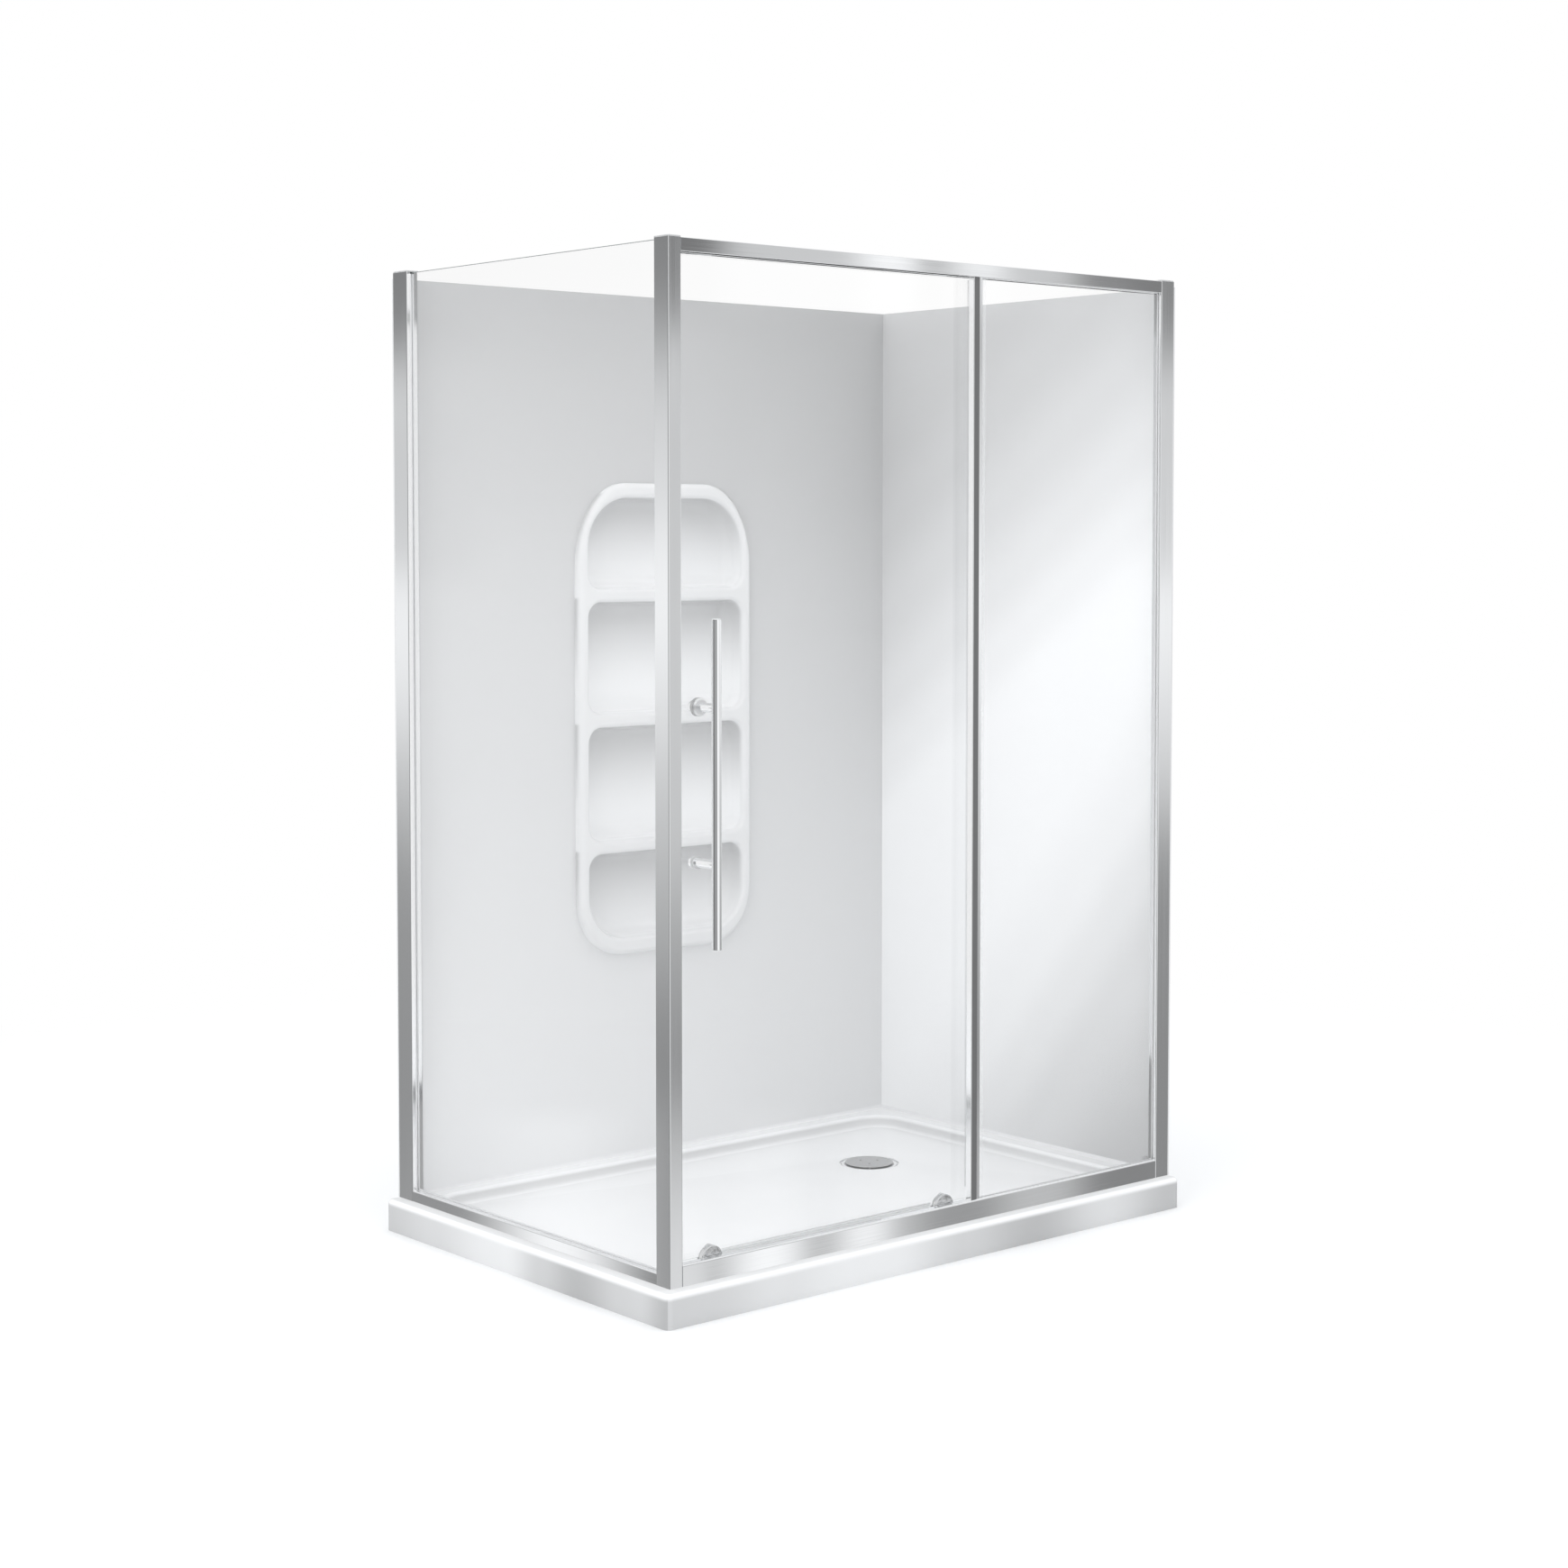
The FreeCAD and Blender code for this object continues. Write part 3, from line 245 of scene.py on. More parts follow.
# ---------------------------------------------------------------- finishes
def start(name, **sockets):
    """New material with one Principled shader; sockets are set by name."""
    material = bpy.data.materials.new(name)
    material.use_nodes = True
    tree = material.node_tree
    tree.nodes.clear()
    shader = add(tree, "ShaderNodeBsdfPrincipled")
    for socket, value in sockets.items():
        put(tree, shader.inputs[socket.replace("_", " ")], value)
    put(tree, add(tree, "ShaderNodeOutputMaterial").inputs["Surface"], shader.outputs[0])
    return material, tree, shader


def bump(tree, shader, height, distance, strength=1.0):
    node = add(tree, "ShaderNodeBump", {"Height": height, "Distance": distance, "Strength": strength})
    put(tree, shader.inputs["Normal"], node.outputs[0])


def gloss(tree, shader, low, high, depth, wave_scale=9.0, pebble_scale=260.0):
    """Puts the moulded gloss group into a material."""
    group = use(tree, effect("Moulded Gloss"), {
        "Vector": object_point(tree), "Wave Scale": wave_scale, "Pebble Scale": pebble_scale,
        "Low": low, "High": high})
    put(tree, shader.inputs["Roughness"], group.outputs["Roughness"])
    bump(tree, shader, group.outputs["Height"], depth)


def die_lines(tree, shader, across, low, high, depth):
    """Puts the drawn lines group into a material."""
    group = use(tree, effect("Drawn Lines"), {
        "Vector": object_point(tree), "Across": across, "Low": low, "High": high})
    put(tree, shader.inputs["Roughness"], group.outputs["Roughness"])
    bump(tree, shader, group.outputs["Height"], depth, 0.5)


def band(tree, position, centre, half_width, softness):
    return use(tree, effect("Soft Band"), {
        "Position": position, "Centre": centre, "Half Width": half_width, "Softness": softness}).outputs[0]


# Painted sheens on the tray's skirt, as its tone along each pair of sides: share of the side and level.
PAINTED_SKIRT_SHEEN_LONG = ((0.0, 0.60), (0.07, 0.62), (0.20, 0.74), (0.33, 0.82), (0.40, 0.82), (0.54, 0.64),
              (0.68, 0.51), (0.84, 0.74), (0.98, 0.54), (1.0, 0.54))
PAINTED_SKIRT_SHEEN_SHORT = ((0.0, 0.58), (0.185, 0.67), (0.40, 0.79), (0.455, 0.80), (0.583, 0.60), (0.707, 0.46),
               (0.85, 0.60), (0.913, 0.62), (1.0, 0.46))


def tray_acrylic(look):
    """White sanitary acrylic, with broad soft sheens painted on the tray's skirt and painted shade in the
    cove round its pan.
    """
    material, tree, shader = start("tray_acrylic")
    x, y, z = parts_of(tree, object_point(tree))
    nx, ny, nz = parts_of(tree, surface_normal(tree))
    half_x, half_y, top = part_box("shower_tray")[1]
    end_face = calc(tree, "GREATER_THAN", calc(tree, "ABSOLUTE", nx), calc(tree, "ABSOLUTE", ny))
    # Painted sheens: light and dark bands of tone along the long and the short sides.
    long_side_painted_sheen = levels(tree, calc(tree, "MULTIPLY_ADD", x, 0.5 / half_x, 0.5), PAINTED_SKIRT_SHEEN_LONG, "EASE")
    short_side_painted_sheen = levels(tree, calc(tree, "MULTIPLY_ADD", y, -0.5 / half_y, 0.5), PAINTED_SKIRT_SHEEN_SHORT, "EASE")
    skirt = blend(tree, end_face, long_side_painted_sheen, short_side_painted_sheen)
    lip_width, lip_drop, lip_fade = 15 * MM, 4 * MM, 10 * MM
    out_x = calc(tree, "SUBTRACT", calc(tree, "ABSOLUTE", x), half_x - lip_width)
    out_y = calc(tree, "SUBTRACT", calc(tree, "ABSOLUTE", y), half_y - lip_width)
    outer = calc(tree, "GREATER_THAN", calc(tree, "MAXIMUM", out_x, out_y), 0.0)
    upright = ramp(tree, calc(tree, "ABSOLUTE", nz), 0.8, 0.3)
    below_lip = ramp(tree, z, top - lip_drop, top - lip_drop - lip_fade)
    on_skirt = calc(tree, "MULTIPLY", calc(tree, "MULTIPLY", outer, upright), below_lip)
    # Painted shade: a soft grey band round the pan just below the rim, in the cove.
    cove_drop, cove_half, cove_soft = 15 * MM, 3 * MM, 9 * MM
    inside = calc(tree, "SUBTRACT", 1.0, outer)
    painted_cove_shade_mask = calc(tree, "MULTIPLY", inside, band(tree, z, top - cove_drop, cove_half, cove_soft))
    basin = blend(tree, painted_cove_shade_mask, grey(look.acrylic), grey(look.cove_shade))
    put(tree, shader.inputs["Base Color"], blend(tree, on_skirt, basin, skirt))
    gloss(tree, shader, 0.10, 0.18, 0.12 * MM)
    return material


def shelf_acrylic(look):
    """The same white, moulded, with painted shade under the top of each scoop and painted light along its
    lower lip.
    """
    material, tree, shader = start("shelf_acrylic")
    y, z = parts_of(tree, object_point(tree))[1:]
    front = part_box("moulded_shelf")[0][1]
    rim_depth, rim_fade = 3 * MM, 13 * MM
    rib_start, rib_end = 4 * MM, 12 * MM
    inside = ramp(tree, y, front + rim_depth, front + rim_depth + rim_fade)
    # Painted shade under each scoop's top, fading into painted light towards its lower lip.
    shade = 0.0
    for opening in frame["record"]["physics"]["openings"]:
        if opening["name"].startswith("shelf_"):
            margins = 2 if opening["name"] == "shelf_top" else 1
            top = opening["box_m"][1][2] + look.scoop_margin * margins
            under_top = ramp(tree, z, top - look.scoop_shade_depth, top)
            this_scoop = ramp(tree, z, top + rib_end, top + rib_start)
            shade = calc(tree, "MAXIMUM", shade, calc(tree, "MULTIPLY", under_top, this_scoop))
    scoop = blend(tree, shade, grey(look.scoop_painted_light), grey(look.scoop_painted_shade))
    put(tree, shader.inputs["Base Color"], blend(tree, inside, grey(look.shelf_rim), scoop))
    gloss(tree, shader, 0.16, 0.26, 0.15 * MM, wave_scale=14.0)
    return material


def satin_sheet(tree, shader, inward, tone, plain):
    """Even satin of a wall sheet with a very fine orange peel, and its tone, with the painted light and
    shade of each liner, on the inner face only.
    """
    inner = calc(tree, "GREATER_THAN", along(tree, surface_normal(tree), inward), 0.5)
    put(tree, shader.inputs["Base Color"], blend(tree, inner, plain, tone))
    gloss(tree, shader, 0.36, 0.44, 0.02 * MM, wave_scale=140.0, pebble_scale=900.0)


# The way in which the back liner's tone falls into painted shade, and where the fall starts and ends, in
# metres.
PAINTED_SHADE_WAY, PAINTED_SHADE_START, PAINTED_SHADE_END = (0.355, 0.0, 0.935), -0.1, 2.04


def back_liner(look):
    """Satin sheet with painted light and shade: its tone falls from the lower left to the upper right."""
    material, tree, shader = start("back_liner")
    fall = ramp_linear(tree, along(tree, object_point(tree), PAINTED_SHADE_WAY), PAINTED_SHADE_START, PAINTED_SHADE_END)
    tone = blend(tree, fall, grey(look.liner_painted_light), grey(look.liner_painted_shade))
    satin_sheet(tree, shader, (0.0, -1.0, 0.0), tone, grey(look.liner_outside))
    return material


# The side liner's diagonal sheen is painted into its colour: the tone fades in along one way below its
# crest and out along another above it.  Metres along each way, in the plane of the liner, and level.
SHEEN_BELOW_WAY, SHEEN_ABOVE_WAY = (0.0, 0.79, 0.61), (0.0, 0.586, 0.810)
SHEEN_BELOW = ((-0.2, 0.62), (0.04, 0.75), (0.15, 0.84), (0.26, 0.92), (0.45, 0.98))
SHEEN_ABOVE = ((0.88, 0.98), (1.0, 0.90), (1.12, 0.81), (1.28, 0.71), (1.45, 0.62), (1.60, 0.58),
               (1.9, 0.60))


def side_liner(look):
    """Satin sheet with one broad diagonal sheen painted into its colour."""
    material, tree, shader = start("side_liner")
    point = object_point(tree)
    below = levels(tree, along(tree, point, SHEEN_BELOW_WAY), SHEEN_BELOW, "EASE")
    above = levels(tree, along(tree, point, SHEEN_ABOVE_WAY), SHEEN_ABOVE, "EASE")
    tone = blend(tree, 1.0, below, above, "DARKEN")
    satin_sheet(tree, shader, (-1.0, 0.0, 0.0), tone, grey(look.liner_outside))
    return material


def aluminium(name, look, across, low=0.07, high=0.11):
    """Bright anodised profile with faint die lines along its length."""
    material, tree, shader = start(name, Base_Color=grey(look.aluminium), Metallic=1.0)
    die_lines(tree, shader, across, low, high, 0.004 * MM)
    return material


def chrome(look):
    material, tree, shader = start("chrome", Base_Color=grey(look.chrome), Metallic=1.0)
    gloss(tree, shader, 0.05, 0.09, 0.01 * MM, wave_scale=30.0, pebble_scale=900.0)
    return material


def cast_chrome(look):
    """Chrome on the carriers' cast housings: the casting's waves swirl its reflections."""
    material, tree, shader = start("cast_chrome", Base_Color=grey(look.cast_chrome), Metallic=1.0)
    gloss(tree, shader, 0.08, 0.16, 1.6 * MM, wave_scale=70.0, pebble_scale=900.0)
    return material


def satin_chrome(look):
    """Satin-chromed fixing of the handle, with painted shade where its bell turns away."""
    material, tree, shader = start("satin_chrome", Metallic=0.85)
    facing = parts_of(tree, surface_normal(tree))["Y"]
    painted_rim_shade = ramp(tree, calc(tree, "ABSOLUTE", facing), 0.75, 0.2)
    put(tree, shader.inputs["Base Color"], blend(tree, painted_rim_shade, grey(0.9), grey(look.satin_rim_painted_shade)))
    gloss(tree, shader, 0.26, 0.34, 0.01 * MM, wave_scale=60.0, pebble_scale=900.0)
    return material


def waste_plate(look):
    """Satin plate with the fine rings of its turning, in a white seat with a thin grey edge."""
    material, tree, shader = start("waste_plate", Metallic=0.25)
    low, high = (Vector(corner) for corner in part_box("drain_cover"))
    flange_low, flange_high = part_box("waste_flange")
    plate_radius = (high.x - low.x) / 2
    seat_radius = (flange_high[0] - flange_low[0]) / 2
    centred = vector_calc(tree, "SUBTRACT", object_point(tree), (low + high) / 2)["Vector"]
    flat = vector_calc(tree, "MULTIPLY", centred, (1.0, 1.0, 0.0))["Vector"]
    radius = vector_calc(tree, "LENGTH", flat)["Value"]
    seat_middle, seat_half = (plate_radius + seat_radius) / 2, (seat_radius - plate_radius) / 2
    edge_width, edge_soft = 2.4 * MM, 0.8 * MM
    seat = band(tree, radius, seat_middle, seat_half - edge_width, edge_soft)
    put(tree, shader.inputs["Base Color"], blend(tree, seat, grey(look.waste_plate), grey(look.acrylic)))
    turning = {"W": radius, "Scale": 1400.0, "Detail": 1.0}
    rings = add(tree, "ShaderNodeTexNoise", turning, noise_dimensions="1D").outputs[0]
    put(tree, shader.inputs["Roughness"], ramp(tree, rings, *NOISE_SPAN, 0.3, 0.45))
    bump(tree, shader, rings, 0.02 * MM, 0.5)
    return material


def steel(look):
    material, tree, shader = start("satin_steel", Base_Color=grey(look.steel), Metallic=1.0)
    die_lines(tree, shader, (60.0, 60.0, 1200.0), 0.22, 0.36, 0.01 * MM)
    return material


def plastic(name, level, low, high, depth, **sockets):
    """Moulded plastic or rubber: satin, faintly pebbled, uneven in tone by a few percent."""
    material, tree, shader = start(name, **sockets)
    tone = noise(tree, object_point(tree), 40.0, 2.0)
    put(tree, shader.inputs["Base Color"], blend(tree, tone, grey(level * 0.96), grey(level * 1.03)))
    gloss(tree, shader, low, high, depth, wave_scale=60.0, pebble_scale=500.0)
    return material


def base_board():
    """Pressed fibre board: chips from dark to pale brown."""
    material, tree, shader = start("base_board")
    chips = add(tree, "ShaderNodeTexVoronoi", {"Vector": object_point(tree), "Scale": 220.0})
    fibres = noise(tree, object_point(tree), 90.0, 4.0)
    shade = calc(tree, "MULTIPLY", parts_of(tree, chips.outputs["Color"])[0], fibres)
    dark_brown, pale_brown = (0.30, 0.21, 0.13, 1.0), (0.62, 0.49, 0.33, 1.0)
    put(tree, shader.inputs["Base Color"], blend(tree, ramp(tree, shade, 0.1, 0.5), dark_brown, pale_brown))
    put(tree, shader.inputs["Roughness"], ramp(tree, fibres, *NOISE_SPAN, 0.7, 0.9))
    bump(tree, shader, shade, 0.3 * MM)
    return material


def clear_for_lamps(tree, shader):
    """Lets lamps and the room's light through the glass without bending them."""
    path = add(tree, "ShaderNodeLightPath").outputs
    passes = calc(tree, "MAXIMUM", path["Is Shadow Ray"], path["Is Diffuse Ray"])
    clear = add(tree, "ShaderNodeBsdfTransparent").outputs[0]
    mix = add(tree, "ShaderNodeMixShader", {0: passes, 1: shader.outputs[0], 2: clear})
    output = next(node for node in tree.nodes if node.type == "OUTPUT_MATERIAL")
    put(tree, output.inputs["Surface"], mix.outputs[0])


def clear_glass(look):
    """Clear toughened glass: neutral, quite flat and free of waves."""
    material, tree, shader = start(
        "clear_glass", Base_Color=(1.0, 1.0, 1.0, 1.0), Roughness=0.0, IOR=1.5,
        Specular_IOR_Level=look.glass_reflection, Transmission_Weight=1.0)
    clear_for_lamps(tree, shader)
    return material


def glass_edge(name, colour):
    """Ground and polished edge of a pane: faintly green-grey."""
    material, tree, shader = start(name, Base_Color=colour, IOR=1.5)
    grind = noise(tree, object_point(tree), 700.0, 2.0)
    put(tree, shader.inputs["Roughness"], ramp(tree, grind, *NOISE_SPAN, 0.12, 0.3))
    bump(tree, shader, grind, 0.01 * MM)
    return material


def clear_vinyl(look):
    """Clear extruded vinyl of the door seals: mostly see-through, a little milky."""
    material, tree, shader = start("clear_vinyl", Base_Color=grey(0.95), IOR=1.45, Alpha=look.vinyl_milk)
    die_lines(tree, shader, (700.0, 700.0, 2.0), 0.12, 0.24, 0.01 * MM)
    return material


def finishes(look):
    """Every material of the object, by the name that the operators use."""
    return {
        "tray": tray_acrylic(look),
        "shelf": shelf_acrylic(look),
        "back_liner": back_liner(look),
        "side_liner": side_liner(look),
        "base_board": base_board(),
        "sealant_white": plastic("sealant", 0.88, 0.35, 0.5, 0.05 * MM),
        "uprights": aluminium("aluminium_uprights", look, (900.0, 900.0, 1.5)),
        "front_rails": aluminium("aluminium_front_rails", look, (1.5, 900.0, 900.0), 0.03, 0.06),
        "side_rails": aluminium("aluminium_side_rails", look, (900.0, 1.5, 900.0), 0.03, 0.06),
        "chrome": chrome(look),
        "cast_chrome": cast_chrome(look),
        "satin_chrome": satin_chrome(look),
        "waste_plate": waste_plate(look),
        "waste_pin": plastic("waste_pin", 0.30, 0.3, 0.45, 0.01 * MM, Metallic=0.4),
        "steel": steel(look),
        "glass": clear_glass(look),
        "glass_edge": glass_edge("glass_edge", look.glass_edge),
        "glass_edge_bare": glass_edge("glass_edge_bare", look.glass_edge_bare),
        "gasket_grey": plastic("gasket_rubber", 0.74, 0.5, 0.7, 0.04 * MM),
        "clear_seal": clear_vinyl(look),
        "bristle": plastic("bristle_pile", 0.55, 0.55, 0.7, 0.01 * MM),
        "dark_insert": plastic("dark_insert", look.insert, 0.3, 0.45, 0.02 * MM),
        "cap_grey": plastic("cap_plastic", 0.60, 0.25, 0.4, 0.03 * MM, Metallic=0.3),
        "nylon_white": plastic("nylon", 0.82, 0.35, 0.5, 0.03 * MM),
        "waste_white": plastic("waste_plastic", 0.80, 0.3, 0.45, 0.04 * MM),
    }


def finish_key(node):
    """Which material a node of the frame gets."""
    special = {"shower_tray": "tray", "moulded_shelf": "shelf", "wall_liner_back": "back_liner",
               "wall_liner_side": "side_liner", "drain_cover": "waste_plate", "waste_flange": "waste_plate",
               "cover_pins": "waste_pin", "handle_rosette": "satin_chrome"}
    if node in special:
        return special[node]
    if node.startswith("carrier_housing"):
        return "cast_chrome"
    if SLOT_OF[node] == "polished_aluminium":
        return "front_rails" if node in FRONT_RAILS else "side_rails" if node in SIDE_RAILS else "uprights"
    return SLOT_OF[node]


MATERIALS = {}


# ---------------------------------------------------------------- mesh helpers
def new_object(name, mesh):
    made = bpy.data.objects.new(name, mesh)
    bpy.context.scene.collection.objects.link(made)
    return made


def baked(source, name):
    """A plain mesh object of what source looks like with its modifiers; source goes."""
    graph = bpy.context.evaluated_depsgraph_get()
    graph.update()
    mesh = bpy.data.meshes.new_from_object(source.evaluated_get(graph), depsgraph=graph)
    mesh.name = name
    old = source.data
    bpy.data.objects.remove(source)
    bpy.data.meshes.remove(old)
    return new_object(name, mesh)


def settle(piece, node):
    """Rides a new piece on its node's body and hides the node."""
    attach(piece, BODY_OF[node])
    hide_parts(node)


def block(bm, low, high):
    """Adds a box between two corners and returns its faces."""
    made = bmesh.ops.create_cube(bm, size=1.0)["verts"]
    size = Vector(high) - Vector(low)
    middle = (Vector(high) + Vector(low)) / 2
    for vert in made:
        vert.co = Vector(c * s for c, s in zip(vert.co, size)) + middle
    return list({face for vert in made for face in vert.link_faces})


def mesh_of(bm, name, smooth=False):
    mesh = bpy.data.meshes.new(name)
    for face in bm.faces:
        face.smooth = smooth
    bm.to_mesh(mesh)
    bm.free()
    return mesh


# ---------------------------------------------------------------- repeated pieces
def row_tree():
    """Repeats the object's own mesh along a line, each copy a little out of true."""
    tree = bpy.data.node_groups.new("Repeated Row", "GeometryNodeTree")
    tree.is_modifier = True
    sockets = (("Geometry", "Geometry"), ("Count", "Int"), ("Start", "Vector"), ("Step", "Vector"),
               ("Turn", "Vector"), ("Lean", "Float"), ("Seed", "Int"), ("Material", "Material"))
    for name, kind in sockets:
        tree.interface.new_socket(name, in_out="INPUT", socket_type="NodeSocket" + kind)
    tree.interface.new_socket("Geometry", in_out="OUTPUT", socket_type="NodeSocketGeometry")
    at = add(tree, "NodeGroupInput").outputs
    line = add(tree, "GeometryNodeMeshLine", {
        "Count": at["Count"], "Start Location": at["Start"], "Offset": at["Step"]}, mode="OFFSET")
    against = calc(tree, "MULTIPLY", at["Lean"], -1.0)
    wobble = add(tree, "FunctionNodeRandomValue", {
        "Min": against, "Max": at["Lean"], "Seed": at["Seed"]}, data_type="FLOAT_VECTOR")
    turn = vector_calc(tree, "ADD", at["Turn"], wobble.outputs[0])["Vector"]
    copies = add(tree, "GeometryNodeInstanceOnPoints", {
        "Points": line.outputs[0], "Instance": at["Geometry"], "Rotation": turn})
    solid = add(tree, "GeometryNodeRealizeInstances", {0: copies.outputs[0]})
    done = add(tree, "GeometryNodeSetMaterial", {"Geometry": solid.outputs[0], "Material": at["Material"]})
    put(tree, add(tree, "NodeGroupOutput").inputs[0], done.outputs[0])
    return tree


def row_of(mesh, name, material, count, start, step, turn=(0.0, 0.0, 0.0), lean=0.0, seed=1):
    """A plain mesh object with count copies of mesh along a line."""
    tree = bpy.data.node_groups.get("Repeated Row") or row_tree()
    source = new_object(name + "_source", mesh)
    modifier = source.modifiers.new("Repeated Row", "NODES")
    modifier.node_group = tree
    values = {"Count": count, "Start": start, "Step": step, "Turn": turn, "Lean": lean, "Seed": seed,
              "Material": material}
    for item in tree.interface.items_tree:
        if item.item_type == "SOCKET" and item.in_out == "INPUT" and item.name in values:
            modifier[item.identifier] = values[item.name]
    return baked(source, name)


def joined(name, *objects):
    """One object with the meshes of several; they share the materials in use."""
    bm = bmesh.new()
    slots = []
    for made in objects:
        first = len(bm.faces)
        bm.from_mesh(made.data)
        bm.faces.ensure_lookup_table()
        own = list(made.data.materials)
        for material in own:
            if material not in slots:
                slots.append(material)
        for face in bm.faces[first:]:
            face.material_index = slots.index(own[face.material_index])
    mesh = bpy.data.meshes.new(name)
    bm.to_mesh(mesh)
    bm.free()
    for material in slots:
        mesh.materials.append(material)
    for made in objects:
        old = made.data
        bpy.data.objects.remove(made)
        bpy.data.meshes.remove(old)
    return new_object(name, mesh)


def screw_mesh(look):
    """Pan-head screw along +X with a cross recess; its head seats at x = 0."""
    head_r, head_h = look.screw_head_radius, look.screw_head_height
    shank_r, reach = 1.9 * MM, 9 * MM
    rim_share, flat_share = 0.3, 0.25
    steps, sides = 6, 28
    bm = bmesh.new()
    outline = [(-reach, 0.0), (-reach, shank_r), (0.0, shank_r), (0.0, head_r)]
    for k in range(1, steps + 1):
        t = math.radians(90 * k / steps)
        height = head_h * (rim_share + (1 - rim_share) * math.sin(t))
        outline.append((height, head_r * (flat_share + (1 - flat_share) * math.cos(t))))
    outline.append((head_h, 0.0))
    verts = [bm.verts.new((x, 0.0, r)) for x, r in outline]
    edges = [bm.edges.new(pair) for pair in zip(verts, verts[1:])]
    bmesh.ops.spin(bm, geom=verts + edges, cent=(0, 0, 0), axis=(1, 0, 0), angle=2 * math.pi, steps=sides,
                   use_merge=True)
    bmesh.ops.remove_doubles(bm, verts=bm.verts, dist=0.01 * MM)
    bmesh.ops.recalc_face_normals(bm, faces=bm.faces)
    screw = new_object("screw", mesh_of(bm, "screw", smooth=True))
    cutter_bm = bmesh.new()
    arm, slot = head_r * 0.55, head_r * 0.13
    floor, above = head_h * 0.35, head_h * 2
    block(cutter_bm, (floor, -arm, -slot), (above, arm, slot))
    block(cutter_bm, (floor, -slot, -arm), (above, slot, arm))
    cutter = new_object("screw_recess", mesh_of(cutter_bm, "screw_recess"))
    cut = screw.modifiers.new("Recess", "BOOLEAN")
    cut.object = cutter
    cut.solver = "EXACT"
    cut.use_self = True
    made = baked(screw, "screw_unit")
    bpy.data.objects.remove(cutter)
    mesh = made.data
    bpy.data.objects.remove(made)
    mesh.set_sharp_from_angle(angle=math.radians(40))
    return mesh


# ---------------------------------------------------------------- properties
class ShowerLook(bpy.types.PropertyGroup):
    """Tones of the finishes and sizes of the fine pieces."""

    acrylic: bpy.props.FloatProperty(
        name="Acrylic", description="Tone of the white acrylic", default=0.95, min=0.0, max=1.0)
    # Tone of the painted shade in the cove round the pan.
    cove_shade: bpy.props.FloatProperty(
        name="Cove shade", description="Tone of the cove round the pan", default=0.74, min=0.0, max=1.0)
    shelf_rim: bpy.props.FloatProperty(
        name="Shelf rim", description="Tone of the shelf's rim and ribs", default=0.80, min=0.0, max=1.0)
    # Painted light and shade in the scoops.
    scoop_painted_light: bpy.props.FloatProperty(
        name="Scoop, light", description="Tone of the scoops towards their lower lips", default=0.90,
        min=0.0, max=1.0)
    scoop_painted_shade: bpy.props.FloatProperty(
        name="Scoop, shade", description="Tone of the scoops under their tops", default=0.60,
        min=0.0, max=1.0)
    scoop_margin: bpy.props.FloatProperty(
        name="Scoop margin", description="From a compartment's free space up to its edge", default=19 * MM,
        unit="LENGTH")
    scoop_shade_depth: bpy.props.FloatProperty(
        name="Scoop shade depth", description="How far the shade reaches down a scoop", default=0.21,
        unit="LENGTH")
    # Painted light and shade across the back liner.
    liner_painted_light: bpy.props.FloatProperty(
        name="Liner, light", description="Back liner's tone at its lower left", default=0.90,
        min=0.0, max=1.0)
    liner_painted_shade: bpy.props.FloatProperty(
        name="Liner, dark", description="Back liner's tone at its upper right", default=0.475,
        min=0.0, max=1.0)
    liner_outside: bpy.props.FloatProperty(
        name="Liner, outside", description="Tone of both liners' outer faces", default=0.72,
        min=0.0, max=1.0)
    aluminium: bpy.props.FloatProperty(
        name="Aluminium", description="Reflectance of the bright profiles", default=0.92, min=0.0, max=1.0)
    chrome: bpy.props.FloatProperty(
        name="Chrome", description="Reflectance of the handle", default=0.92, min=0.0, max=1.0)
    cast_chrome: bpy.props.FloatProperty(
        name="Cast chrome", description="Reflectance of the carriers' housings", default=0.72,
        min=0.0, max=1.0)
    # Painted shade on the handle fixing where its bell turns away.
    satin_rim_painted_shade: bpy.props.FloatProperty(
        name="Satin rim", description="Tone of the handle fixing where it turns away", default=0.55,
        min=0.0, max=1.0)
    vinyl_milk: bpy.props.FloatProperty(
        name="Vinyl milk", description="How milky the clear seals are", default=0.12, min=0.0, max=1.0)
    waste_plate: bpy.props.FloatProperty(
        name="Waste plate", description="Tone of the waste cover", default=0.43, min=0.0, max=1.0)
    steel: bpy.props.FloatProperty(
        name="Steel", description="Reflectance of the screws and axles", default=0.72, min=0.0, max=1.0)
    insert: bpy.props.FloatProperty(
        name="Insert", description="Tone of the dark strip on the upright", default=0.14, min=0.0, max=1.0)
    glass_reflection: bpy.props.FloatProperty(
        name="Glass reflection", description="How strongly the panes mirror the room", default=0.3, min=0.0,
        max=1.0)
    glass_edge: bpy.props.FloatVectorProperty(
        name="Glass edge", description="Colour of the edges in gaskets and seals", subtype="COLOR", size=4,
        default=(0.66, 0.70, 0.69, 1.0), min=0.0, max=1.0)
    glass_edge_bare: bpy.props.FloatVectorProperty(
        name="Glass edge, bare", description="Colour of the return pane's edges, bare along its top",
        subtype="COLOR", size=4, default=(0.22, 0.24, 0.24, 1.0), min=0.0, max=1.0)
    arris: bpy.props.FloatProperty(
        name="Arris", description="Width of the bevel on the panes' edges", default=1.2 * MM, unit="LENGTH")
    bristle_pitch: bpy.props.FloatProperty(
        name="Bristle pitch", description="Distance between bristles", default=2.0 * MM, unit="LENGTH")
    bristle_radius: bpy.props.FloatProperty(
        name="Bristle radius", description="Thickness of a bristle", default=0.3 * MM, unit="LENGTH")
    screw_head_radius: bpy.props.FloatProperty(
        name="Screw head radius", description="Radius of a jamb screw's head", default=3.4 * MM,
        unit="LENGTH")
    screw_head_height: bpy.props.FloatProperty(
        name="Screw head height", description="Height of a jamb screw's head", default=2.4 * MM,
        unit="LENGTH")


